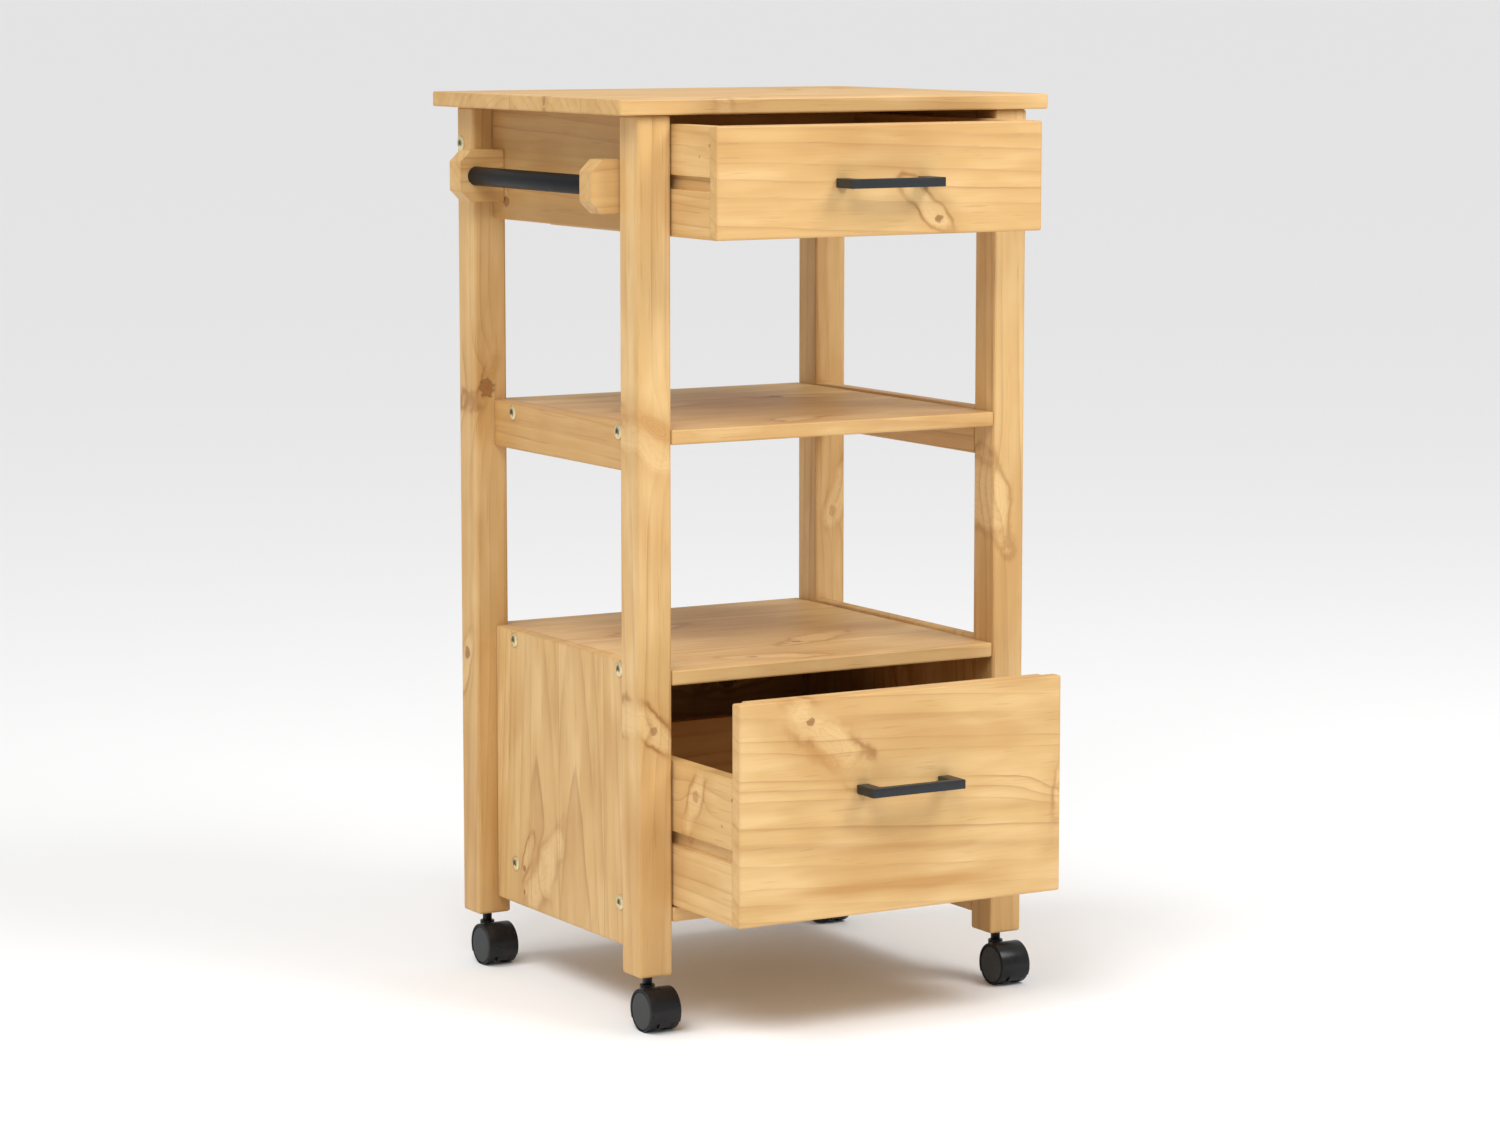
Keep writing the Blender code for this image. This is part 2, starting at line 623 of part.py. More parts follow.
def stem_mesh():
    """The stem: a steel pin with tapered ends, from inside the hood's boss up into the leg."""
    low, high = STEM_LOWER_END, LEG_FOOT_HEIGHT + STEM_IN_LEG
    profile = [
        (0, high),
        (STEM_RADIUS - SMALL_EDGE, high),
        (STEM_RADIUS, high - SMALL_EDGE),
        (STEM_RADIUS, low + SMALL_EDGE),
        (STEM_RADIUS - SMALL_EDGE, low),
        (0, low),
    ]
    return turned_mesh("stem", profile, SMALL_SEGMENTS + 4)


def make_casters():
    hood, wheel, stem = hood_mesh(), wheel_mesh(), stem_mesh()
    axle_length = CASTER_WEB + 2 * (FIT_GAP + AXLE_IN_WHEEL)
    axle = rod_mesh("axle", AXLE_RADIUS, axle_length, (1, 0, 0), SMALL_SEGMENTS)
    finishes = ((hood, BLACK_PLASTIC), (wheel, BLACK_PLASTIC), (stem, BLACK_METAL), (axle, STEEL))
    for mesh, material in finishes:
        mesh.materials.append(material)
    for row, y in LEG_CENTRE_Y.items():
        for side_name, side in sides():
            name = f"caster_{row}_{side_name}"
            place = (side * LEG_CENTRE_X, y, 0)
            add_object(f"{name}_stem", stem, place, CART)
            swivel = empty(f"{name}_swivel", place, CART)
            add_object(f"{name}_hood", hood, (0, 0, 0), swivel)
            axle_place = Vector((0, -CASTER_TRAIL, WHEEL_RADIUS))
            add_object(f"{name}_axle", axle, axle_place, swivel)
            for wheel_side, sign in sides():
                seat = axle_place + Vector((sign * (CASTER_WEB / 2 + FIT_GAP), 0, 0))
                tyre = add_object(f"{name}_wheel_{wheel_side}", wheel, seat, swivel)
                tyre.rotation_euler = (0, sign * math.pi / 2, 0)


# ---------------------------------------------------------------- the whole cart
make_worktop()
for row_name in LEG_CENTRE_Y:
    for side_label, side_sign in sides():
        make_leg(row_name, side_label, side_sign)
make_frame_boards()
make_runners("upper", UPPER_DRAWER_BOTTOM + UPPER_RUNNER_RISE)
make_runners("lower", LOWER_DRAWER_BOTTOM + LOWER_RUNNER_RISE)
make_towel_rail()
make_drawer(
    "upper", UPPER_DRAWER_BOTTOM, UPPER_FRONT_HEIGHT, UPPER_FRONT_HEIGHT, UPPER_RUNNER_RISE,
    UPPER_OPENED, UPPER_PULL_LIFT,
)
make_drawer(
    "lower", LOWER_DRAWER_BOTTOM, LOWER_FRONT_HEIGHT, LOWER_SIDE_HEIGHT, LOWER_RUNNER_RISE,
    LOWER_OPENED, LOWER_PULL_LIFT,
)
make_casters()
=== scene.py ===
# %% [markdown]
# # Rolling pantry cart: finishes and small hardware
#
# The cart's boards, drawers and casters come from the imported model, which is a fixed frame here. This
# lesson gives each board its own pine, and models the round and moulded pieces that a plain solid is
# too coarse for. Everything is in metres, +Z is up, and the drawers pull out towards -Y.

import math
from types import SimpleNamespace

import bmesh
import bpy
from mathutils import Matrix, Vector


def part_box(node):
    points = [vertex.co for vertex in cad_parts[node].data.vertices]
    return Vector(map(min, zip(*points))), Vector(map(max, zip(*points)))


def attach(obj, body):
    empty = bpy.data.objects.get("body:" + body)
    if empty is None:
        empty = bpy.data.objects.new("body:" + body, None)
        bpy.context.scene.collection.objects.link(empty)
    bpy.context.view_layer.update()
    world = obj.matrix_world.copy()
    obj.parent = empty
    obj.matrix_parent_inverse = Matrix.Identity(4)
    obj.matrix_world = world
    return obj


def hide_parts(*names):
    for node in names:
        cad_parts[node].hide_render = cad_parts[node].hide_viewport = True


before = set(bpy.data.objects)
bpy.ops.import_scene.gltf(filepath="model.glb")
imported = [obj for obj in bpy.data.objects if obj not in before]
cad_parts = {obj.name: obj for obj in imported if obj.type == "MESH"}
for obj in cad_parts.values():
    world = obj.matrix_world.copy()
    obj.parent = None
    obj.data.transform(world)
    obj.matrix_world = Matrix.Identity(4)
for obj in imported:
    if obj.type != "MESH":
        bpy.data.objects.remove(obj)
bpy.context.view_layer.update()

# %% [markdown]
# ## Camera
#
# The cart stands turned by 30 degrees and is seen from a little above its worktop. A long lens from
# more than four metres keeps the legs nearly upright. The camera looks down a little and has no shift,
# so that the other views stay centred.

# %% Camera
CAMERA_PLACE = Vector((-2.2177, -3.7602, 1.0048))
CAMERA_TURN = math.radians(30.252)
CAMERA_TILT = math.radians(7.48)
CAMERA_LENS = 105.14

camera_data = bpy.data.cameras.new("camera")
camera_data.lens = CAMERA_LENS
camera_data.sensor_width = 36
camera = bpy.data.objects.new("camera", camera_data)
camera.location = CAMERA_PLACE
camera.rotation_euler = (math.pi / 2 - CAMERA_TILT, 0, -CAMERA_TURN)
bpy.context.scene.collection.objects.link(camera)
bpy.context.scene.camera = camera
print("camera at", tuple(round(value, 3) for value in CAMERA_PLACE))

# %% [markdown]
# ## Light and floor
#
# A pale room lights everything a little, and a wide soft sun from the left, high up, lights the whole
# floor evenly. Two large softboxes in front, one on each side, model the boards: the left one throws
# the pulls' soft shadows down and to the right. The Standard view keeps whites white and wood in its
# own hue. The floor reaches far enough that no horizon is seen.

# %% Light and floor
ROOM_LIGHT = 0.58
SUN_STRENGTH = 1.00
SUN_WIDTH = 30
SOFTBOX_SIZE = 1.3
LEFT_POWER = 34
RIGHT_POWER = 46
FLOOR_GREY = 0.92
FLOOR_REACH = 400

scene = bpy.context.scene
scene.view_settings.view_transform = "Standard"
room = bpy.data.worlds.new("pale_room")
room.use_nodes = True
room.node_tree.nodes["Background"].inputs["Color"].default_value = (1, 1, 1, 1)
room.node_tree.nodes["Background"].inputs["Strength"].default_value = ROOM_LIGHT
scene.world = room


def lamp(name, kind, place, power, target=(0, 0, 0.5)):
    """A lamp that looks from its place at the target."""
    data = bpy.data.lights.new(name, kind)
    data.energy = power
    shining = bpy.data.objects.new(name, data)
    shining.location = place
    shining.rotation_euler = (Vector(target) - Vector(place)).to_track_quat("-Z", "Y").to_euler()
    scene.collection.objects.link(shining)
    return data


lamp("soft_sun", "SUN", (-2, 0, 3.964), SUN_STRENGTH).angle = math.radians(SUN_WIDTH)
lamp("left_softbox", "AREA", (-1.538, -1.708, 2.428), LEFT_POWER).size = SOFTBOX_SIZE
lamp("right_softbox", "AREA", (1.061, -1.837, 2.621), RIGHT_POWER).size = SOFTBOX_SIZE

bpy.ops.object.select_all(action="DESELECT")
bpy.ops.mesh.primitive_plane_add(size=2 * FLOOR_REACH)
floor = bpy.context.object
floor.name = "floor"
print("a soft sun and two softboxes over a pale floor")

# %% [markdown]
# ## Expressions for finishes
#
# A wood pattern is arithmetic on positions. Written node by node it can't be read, so one small class
# wraps a socket and turns +, -, * and / into Math nodes.


# %% Wires
class Wire:
    """A socket in a finish. Arithmetic on wires adds Math nodes."""

    def __init__(self, finish, socket):
        self.finish = finish
        self.socket = socket

    def math(self, operation, *values):
        return self.finish.node("ShaderNodeMath", {"operation": operation}, dict(enumerate(values)))

    def __add__(self, other):
        return self.math("ADD", self, other)

    __radd__ = __add__

    def __sub__(self, other):
        return self.math("SUBTRACT", self, other)

    def __rsub__(self, other):
        return self.math("SUBTRACT", other, self)

    def __mul__(self, other):
        return self.math("MULTIPLY", self, other)

    __rmul__ = __mul__

    def __truediv__(self, other):
        return self.math("DIVIDE", self, other)

    def __rtruediv__(self, other):
        return self.math("DIVIDE", other, self)

    def __pow__(self, other):
        return self.math("POWER", self, other)

    def __neg__(self):
        return self.math("MULTIPLY", self, -1)

    def __abs__(self):
        return self.math("ABSOLUTE", self)

    def least(self, other):
        return self.math("MINIMUM", self, other)

    def most(self, other):
        return self.math("MAXIMUM", self, other)

    def fraction(self):
        return self.math("FRACT", self)

    def floor(self):
        return self.math("FLOOR", self)

    def bell(self, width):
        """1 where the wire is 0, falling to nothing at about two widths."""
        share = self / width
        return self.math("EXPONENT", -(share * share))

    def smooth(self, start, end):
        """0 up to start and 1 from end, with a smooth rise between. It falls where start is above end."""
        settings = {"interpolation_type": "SMOOTHSTEP", "clamp": True}
        return self.finish.node("ShaderNodeMapRange", settings, {0: self, 1: start, 2: end})

    def parts(self):
        """The X, Y and Z of a vector."""
        split = self.finish.node("ShaderNodeSeparateXYZ", None, {0: self})
        return [Wire(self.finish, socket) for socket in split.socket.node.outputs]


def distance(first, second):
    """How far a point is from the origin, from two coordinates at a right angle."""
    return (first * first + second * second) ** 0.5


print("wires can be added, multiplied and smoothed")

# %% [markdown]
# A finish is one material on a Principled BSDF. One method adds nodes, and sets a node's settings
# before its sockets, since a setting can change which sockets there are. Places are counted on the
# piece itself, in metres, so the wood stays with a drawer that slides.


# %% Finishes
# which output of Texture Coordinate is Object, and which of Mix is its colour
OBJECT_PLACE = 3
COLOUR_RESULT = 2


class Finish:
    """A material that is being made, on a Principled BSDF."""

    def __init__(self, name):
        self.material = bpy.data.materials.new(name)
        self.material.use_nodes = True
        self.tree = self.material.node_tree
        self.shader = self.tree.nodes["Principled BSDF"]

    def feed(self, socket, value):
        if isinstance(value, Wire):
            self.tree.links.new(value.socket, socket)
        else:
            socket.default_value = value

    def node(self, kind, settings=None, sockets=None, output=0):
        made = self.tree.nodes.new(kind)
        for name, value in (settings or {}).items():
            setattr(made, name, value)
        for key, value in (sockets or {}).items():
            self.feed(made.inputs[key], value)
        return Wire(self, made.outputs[output])

    def place(self, centre=(0, 0, 0)):
        """Positions on the piece, counted from a centre."""
        spot = self.node("ShaderNodeTexCoord", output=OBJECT_PLACE)
        moved = {"Vector": spot, "Location": tuple(-value for value in centre)}
        return self.node("ShaderNodeMapping", None, moved)

    def vector(self, x, y, z):
        return self.node("ShaderNodeCombineXYZ", None, {0: x, 1: y, 2: z})

    def noise(self, vector, scale, detail=2.0, roughness=0.5):
        sockets = {"Vector": vector, "Scale": scale, "Detail": detail, "Roughness": roughness}
        return self.node("ShaderNodeTexNoise", None, sockets)

    def noise_along(self, value, scale, detail=1.0):
        sockets = {"W": value, "Scale": scale, "Detail": detail}
        return self.node("ShaderNodeTexNoise", {"noise_dimensions": "1D"}, sockets)

    def chance(self, value):
        """A fixed random number from 0 to 1 for each whole number."""
        return self.node("ShaderNodeTexWhiteNoise", {"noise_dimensions": "1D"}, {"W": value})

    def mix(self, share, first, second):
        """A colour between two colours."""
        colours = [value if isinstance(value, Wire) else (*value, 1) for value in (first, second)]
        sockets = {0: share, 6: colours[0], 7: colours[1]}
        return self.node("ShaderNodeMix", {"data_type": "RGBA"}, sockets, COLOUR_RESULT)

    def bump(self, height, depth, strength=1.0):
        sockets = {"Height": height, "Distance": depth, "Strength": strength}
        return self.node("ShaderNodeBump", None, sockets)

    def surface(self, colour, roughness, **others):
        """Sets the shader's sockets. A name such as Coat_Weight stands for the socket Coat Weight."""
        sockets = {"Base_Color": colour, "Roughness": roughness, **others}
        for name, value in sockets.items():
            if isinstance(value, tuple) and len(value) == 3:
                value = (*value, 1)
            self.feed(self.shader.inputs[name.replace("_", " ")], value)
        return self.material


def dress(piece, *materials):
    """Gives a piece these materials in place of its own."""
    piece.data.materials.clear()
    for material in materials:
        piece.data.materials.append(material)


plain = Finish("pale_floor")
dress(floor, plain.surface((FLOOR_GREY, FLOOR_GREY, FLOOR_GREY), 0.9))
print("the floor is the first finish:", plain.material.name)

# %% [markdown]
# ## Pine
#
# A board is a slice of a trunk, and its figure is where the slice cuts the yearly rings. So the pattern
# is made in three dimensions: the distance from the trunk's middle line, wandering a little along the
# trunk, divided by a ring's width. Faces, edges and end grain then agree at every corner, which no flat
# pattern does. Each ring is pale early wood that darkens slowly to a brown line and stops sharply.
# A few colours are enough, because noises mix them.

# %% Colours of pine
EARLY_WOOD = (0.630, 0.402, 0.164)
PALE_WOOD = (0.715, 0.485, 0.225)
LATE_WOOD = (0.325, 0.145, 0.040)
AMBER_WOOD = (0.490, 0.258, 0.080)
KNOT_WOOD = (0.230, 0.070, 0.020)
KNOT_BARK = (0.100, 0.034, 0.012)
END_WOOD = (0.480, 0.285, 0.110)
print("pine goes from", PALE_WOOD, "to", LATE_WOOD)

# %% [markdown]
# Two small classes hold what differs from board to board, so that a board is one row of a table. A
# branch lifts the rings round itself, so a knot adds a hump to the distance from the middle line. The
# lines then bend round it and crowd at its edge. Wide boards are glued up from staves, each a slice of
# another trunk. A streak is a band of warmer wood along the grain, but near the feet of three legs it is
# painted shade. A board's tone pulls its wood towards amber, and on some boards it is painted shade.


# %% What a board is
class Knot:
    """A knot: its core's place along and across the board from the middle, and the swirl by it.

    The swirl is as long as reach, leans by lean degrees from the grain, and trails from the core.
    Its wood is pale or brown, and rim is how strong the brown line round it is.
    """

    def __init__(self, along, across, size, reach=0.0, lean=0, trail=0.3, lift=2.2, through="deep",
                 dark=1.0, rim=0.5, wood=PALE_WOOD):
        self.along = along
        self.across = across
        self.size = size
        self.reach = reach or 6 * size
        self.lean = math.radians(lean)
        self.trail = trail
        self.lift = lift
        self.through = through
        self.dark = dark
        self.rim = rim
        self.wood = wood


class Board:
    """How a board was cut: its grain, its wide direction, and the trunk that it came from.

    The pith is the trunk's middle line, across and deep from the board's own middle. Each streak is
    (place across, width, (middle along, reach along), strength); some streaks are painted shade. The
    tone pulls the wood towards amber, and on some boards it is painted shade.
    """

    def __init__(self, grain, wide, seed, pith=(0.02, 0.075), ring=0.0095, joints=(), taper=0.02,
                 tone=0.0, knots=(), streaks=()):
        self.grain = "XYZ".index(grain)
        self.wide = "XYZ".index(wide)
        self.deep = 3 - self.grain - self.wide
        self.seed = seed
        self.pith = pith
        self.ring = ring
        self.joints = joints
        self.taper = taper
        self.tone = tone
        self.knots = knots
        self.streaks = streaks


print("a board is cut along its grain, and each knot has a place on it")

# %% [markdown]
# Wood changes fast across the grain and slowly along it. So every noise is read at a place whose
# length along the grain is divided by a stretch. The same few noises serve the whole finish: the
# wander and the waver of the rings, fibres as thin as hairs, resin ducts, and soft patches.

# %% Noises along the grain
GRAIN_NOISES = {
    # name: (stretch along the grain, scale, detail, roughness)
    "wander": (7.0, 12.0, 1.5, 0.5),
    "waver": (7.0, 70.0, 2.0, 0.5),
    "streak": (28, 95.0, 2.5, 0.5),
    "fade": (5, 30.0, 1.0, 0.5),
    "fibre": (60, 1000.0, 2.0, 0.6),
    "patch": (2.5, 14.0, 2.0, 0.5),
    "cloud": (4, 38.0, 2.0, 0.5),
    "resin": (22, 480.0, 0.0, 0.5),
}


def grain_noises(finish, across, deep, along):
    """Every noise of the grain, at one place in the trunk."""
    noises = SimpleNamespace()
    for name, (stretch, scale, detail, roughness) in GRAIN_NOISES.items():
        spot = finish.vector(across, deep, along / stretch)
        setattr(noises, name, finish.noise(spot, scale, detail, roughness))
    return noises


print(len(GRAIN_NOISES), "noises follow the grain")

# %% [markdown]
# A glued-up board is cut into staves at its joints. A count of the joints passed numbers the staves,
# and the number picks a random slice of trunk and a slightly different tone for each. The glue line
# itself is a hair of brown, kept as a mask for later.

# %% Staves
STAVE_SHIFT = 0.16
STAVE_JUMP = 3.0
STAVE_TONES = 0.20
SEAM_WIDTH = 0.00045
SEED_STEP = 1.7


def cut_staves(finish, board, across, along):
    """(place across the trunk, place along it, tone, seam), where the seam is the glue lines' mask."""
    along = along + SEED_STEP * board.seed
    if not board.joints:
        return across, along, board.tone, None
    number, seam = 0, 0
    for joint in board.joints:
        number = number + across.smooth(joint - 0.00005, joint + 0.00005)
        seam = (across - joint).bell(SEAM_WIDTH).most(seam)
    slice_chance = finish.chance((number + 0.5).floor() + board.seed)
    tone_chance = finish.chance((number + 0.5).floor() + board.seed + 0.5)
    shifted = across + (slice_chance - 0.5) * STAVE_SHIFT
    tone = board.tone + (tone_chance - 0.5) * STAVE_TONES
    return shifted, along + tone_chance * STAVE_JUMP, tone, seam


print("staves are moved by up to", STAVE_SHIFT / 2, "m")

# %% [markdown]
# A knot's parts come from two distances. Near the core, a ragged round distance gives the heart, with
# rings of its own, and the thin line of bark round it. Farther out, a long leaning distance gives the
# swirl: pale wood that grew round the branch, with a brown line where it meets the straight grain.

# %% Knots
KNOT_RING = 0.0012
SWIRL_LENGTH = 0.50
SWIRL_WIDTH = 0.15


def knot_masks(knot, along, side, ragged, drift):
    """What one knot does: it lifts the rings, and has a core, bark, rings, a swirl, its rim and a halo."""
    masks = SimpleNamespace()
    forward = along - knot.along
    sideways = side - knot.across
    near = distance(forward / 1.2, sideways) + (ragged - 0.5) * (1.8 * knot.size)
    masks.core = near.smooth(1.1 * knot.size, 0.6 * knot.size) * knot.dark
    masks.bark = (near - 0.95 * knot.size).bell(0.17 * knot.size) * knot.dark
    masks.rings = (near / KNOT_RING).fraction()
    far = distance(forward / 2.2, sideways)
    masks.lift = far.bell(2.6 * knot.size) * (knot.lift * knot.size)

    turned = forward * math.cos(knot.lean) + sideways * math.sin(knot.lean)
    beside = sideways * math.cos(knot.lean) - forward * math.sin(knot.lean)
    turned = turned - knot.trail * knot.reach
    swirl_far = distance(turned / (SWIRL_LENGTH * knot.reach), beside / (SWIRL_WIDTH * knot.reach))
    swirl_far = swirl_far + (ragged - 0.5) * 0.35 + (drift - 0.5) * 1.5
    curls = (swirl_far * 3.2).fraction()
    masks.swirl = swirl_far.smooth(1.3, 0.55) * (1 - curls ** 5.0 * 0.7)
    masks.rim = (swirl_far - 1.2).bell(0.18) * knot.rim
    masks.halo = swirl_far.smooth(3.2, 1.1)
    return masks


def board_knots(finish, board, along, across, deep):
    """The masks of all the knots of a board. A knot is a branch through its depth or its width."""
    if not board.knots:
        return []
    spot = finish.vector(across, deep, along)
    ragged = finish.noise(spot, 170.0, 3.0)
    drift = finish.noise(spot, 34.0, 1.0)
    sides = {"deep": across, "wide": deep}
    return [knot_masks(knot, along, sides[knot.through], ragged, drift) for knot in board.knots]


print("a knot's swirl is", SWIRL_LENGTH / SWIRL_WIDTH, "times as long as wide")

# %% [markdown]
# The distance from the pith, bent by the noises and the knots, is divided by a ring's width. Its
# fraction is the time of year: a high power of it gives the thin brown line, which stops sharply at
# the winter's end. Each ring gets its own strength by chance, and fades here and there.

# %% Yearly rings
WANDER = 0.016
WAVER = 0.0030
LINE_POWER = 9.0
SHADE_STRENGTH = 0.20


def yearly_rings(finish, board, across, deep, along, grain, knots):
    """(line, shade): the brown line at each ring's end, and the slow darkening before it."""
    radius = distance(across - board.pith[0], deep - board.pith[1])
    radius = radius + (grain.wander - 0.5) * WANDER + (grain.waver - 0.5) * WAVER + along * board.taper
    for knot in knots:
        radius = radius + knot.lift
    phase = radius / board.ring + finish.noise_along(radius, 45.0) * 1.4
    year = phase.fraction()
    strength = finish.chance(phase.floor() + board.seed) * 0.7 + 0.3
    strength = strength * grain.fade.smooth(0.25, 0.70)
    line = year ** LINE_POWER * year.smooth(1.0, 0.94) * strength
    return line, year.smooth(0.35, 1.0) * grain.fade * SHADE_STRENGTH


print("a ring is about", Board("X", "Y", 0).ring * 1000, "mm wide")

# %% [markdown]
# The colours are laid one over another, as a painter would: pale clouds, then amber patches and
# bands along the grain, with the painted shade of some boards and legs, then each knot's halo, swirl
# and rim, then the ring lines and the fibres, and the knots' hearts last.

# %% Colour of the wood
LINE_STRENGTH = 0.85
CLOUD_STRENGTH = 0.75
FIBRE_STRENGTH = 0.42
RESIN_STRENGTH = 0.20
STREAK_WOBBLE = 0.012


def wood_colour(finish, board, across, along, tone, grain, resin, knots, line, shade):
    colour = finish.mix(grain.cloud.smooth(0.42, 0.66) * CLOUD_STRENGTH, EARLY_WOOD, PALE_WOOD)
    # This amber is partly painted shade: the tone of some boards, and the bands near the feet of three
    # legs.
    warmth_and_painted_shade = grain.patch.smooth(0.46, 0.72) * 0.50 + (grain.streak - 0.46) * 0.80 + tone
    for middle_across, width, (middle_along, reach), strength in board.streaks:
        band = (across - middle_across + (grain.fade - 0.5) * STREAK_WOBBLE).bell(width)
        warmth_and_painted_shade = warmth_and_painted_shade + band * abs(along - middle_along).smooth(reach, 0.4 * reach) * strength
    colour = finish.mix(warmth_and_painted_shade.most(0).least(0.9), colour, AMBER_WOOD)
    for knot, masks in zip(board.knots, knots):
        colour = finish.mix(masks.halo * 0.30, colour, AMBER_WOOD)
        colour = finish.mix(masks.swirl * 0.80, colour, knot.wood)
        colour = finish.mix(masks.rim * grain.fade.smooth(0.35, 0.60), colour, LATE_WOOD)
    colour = finish.mix(line * LINE_STRENGTH + shade, colour, LATE_WOOD)
    hairs = (grain.fibre - 0.5).most(0) * FIBRE_STRENGTH + resin * RESIN_STRENGTH
    colour = finish.mix(hairs, colour, LATE_WOOD)
    for masks in knots:
        heart = finish.mix(masks.rings * 0.6, KNOT_WOOD, AMBER_WOOD)
        colour = finish.mix(masks.core * 0.88, colour, heart)
        colour = finish.mix(masks.bark * 0.55, colour, KNOT_BARK)
    return colour


print("ring lines cover", LINE_STRENGTH, "of the wood under them")

# %% [markdown]
# A board is a little darker and smoother along its edges. How near an edge is comes from the
# distances to the three pairs of faces: at an edge, two of them are small together. The sawn ends
# drink more finish, so they are darker and duller.

# %% Edges and ends
END_FADE = 0.0012
END_STRENGTH = 0.30
EDGE_BAND_WIDTH = 0.0034
EDGE_DARKENING = 0.22


def nearest_edge(board, place, half):
    """How far the nearest edge of the board is."""
    rims = [half[axis] - abs(place[axis]) for axis in range(3)]
    edge = distance(rims[board.wide], rims[board.deep])
    edge = edge.least(distance(rims[board.wide], rims[board.grain]))
    return edge.least(distance(rims[board.deep], rims[board.grain]))


print("edges are darkened for", EDGE_BAND_WIDTH * 1000, "mm")

# %% [markdown]
# The parts come together in one finish. Positions count from the board's own middle. The masks that
# colour the wood also make its relief: ring lines, resin ducts and glue lines lie a little deeper.

# %% The finish of one board
SKIN_DEPTH = 0.00016
WOOD_SHINE = 0.32


def pine(node):
    """The pine of one board of the frame, from its row in BOARDS."""
    board = BOARDS[node]
    finish = Finish(f"pine_{node}")
    low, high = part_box(node)
    half = (high - low) / 2
    place = finish.place((low + high) / 2).parts()
    along, across, deep = place[board.grain], place[board.wide], place[board.deep]
    slice_across, far_along, tone, seam = cut_staves(finish, board, across, along)
    grain = grain_noises(finish, slice_across, deep, far_along)
    resin = grain.resin.smooth(0.72, 0.80)
    knots = board_knots(finish, board, along, across, deep)
    line, shade = yearly_rings(finish, board, slice_across, deep, along, grain, knots)
    colour = wood_colour(finish, board, across, along, tone, grain, resin, knots, line, shade)

    end = abs(along).smooth(half[board.grain] - END_FADE, half[board.grain] - 0.0002)
    colour = finish.mix(end * END_STRENGTH, colour, END_WOOD)
    edge = nearest_edge(board, place, half)
    edge_band = (edge + (grain.streak - 0.5) * 0.003).smooth(EDGE_BAND_WIDTH, 0.0008)
    colour = finish.mix(edge_band * EDGE_DARKENING, colour, AMBER_WOOD)
    height = grain.fibre * 0.5 - line * 0.9 - resin * 0.8
    if seam is not None:
        colour = finish.mix(seam * 0.55, colour, LATE_WOOD)
        height = height - seam * 1.2
    roughness = 0.50 + (grain.fibre - 0.5) * 0.18 - line * 0.08 + end * 0.22 - edge_band * 0.06
    relief = finish.bump(height, SKIN_DEPTH, 0.7)
    return finish.surface(colour, roughness, Normal=relief, Specular_IOR_Level=WOOD_SHINE)


print("a board's skin is", SKIN_DEPTH * 1000, "mm deep")

# %% [markdown]
# Each board gets its own row, because no two boards of a real cart look alike. The legs and the
# cabinet's sides run upright, the aprons, rails and drawer sides run from front to back, and the
# rest run from side to side. A pith far from the board gives straight lines, and a near one gives
# the flame figure of a flat-sawn board. The wide boards come first.

# %% The worktop, the shelves and the cabinet
BOARDS = {
    "top_board": Board(
        "X", "Y", 3, (0.01, -0.16), 0.0120, tone=0.13, joints=(-0.121, 0.027, 0.113), knots=(
            Knot(-0.120, -0.188, 0.0050, 0.070, 35), Knot(-0.238, -0.046, 0.0040),
            Knot(0.115, 0.080, 0.0070, 0.080, 25),
        )),
    "middle_shelf": Board(
        "X", "Y", 11, (0.02, -0.06), 0.0095, tone=0.05, joints=(-0.102, 0.004, 0.091), knots=(
            Knot(-0.048, -0.165, 0.0050, 0.090, 30), Knot(0.080, 0.060, 0.0060, 0.080, -25),
            Knot(-0.110, 0.020, 0.0050, 0.100, 15, dark=0.3),
        )),
    "lower_shelf": Board("X", "Y", 19, (-0.02, -0.06), 0.0095, joints=(-0.093, 0.018, 0.104), knots=(
        Knot(0.0185, -0.085, 0.0045, 0.100, 28), Knot(-0.071, -0.150, 0.0045, 0.090, -20, dark=0.7),
        Knot(-0.100, 0.050, 0.0050, 0.090, 20, dark=0.3),
    )),
    "cabinet_floor": Board("X", "Y", 23, (0.03, 0.17), 0.0105, joints=(-0.07, 0.03, 0.10)),
    "cabinet_back": Board("X", "Z", 29, (0.01, 0.09), 0.0110, tone=0.25, joints=(-0.045, 0.052), knots=(
        Knot(0.09, 0.05, 0.008, 0.090, 15), Knot(-0.11, -0.06, 0.006, 0.080, -20),
    )),
    "cabinet_side_left": Board(
        "Z", "Y", 31, (0.006, 0.070), 0.0120, joints=(-0.079, 0.016, 0.078), taper=0.05, knots=(
            Knot(-0.102, 0.093, 0.0026, 0.050, -28, 0.25, rim=0.8), Knot(-0.127, 0.094, 0.0024, 0.040, -28),
            Knot(-0.100, 0.052, 0.0050, 0.110, -40, 0.0, dark=0.0, rim=0.3),
        )),
    "cabinet_side_right": Board(
        "Z", "Y", 37, (-0.01, -0.075), 0.0110, joints=(-0.060, 0.035, 0.082), taper=0.05, knots=(
            Knot(0.06, -0.03, 0.006, 0.080, 20),
        )),
}
print(len(BOARDS), "wide boards")
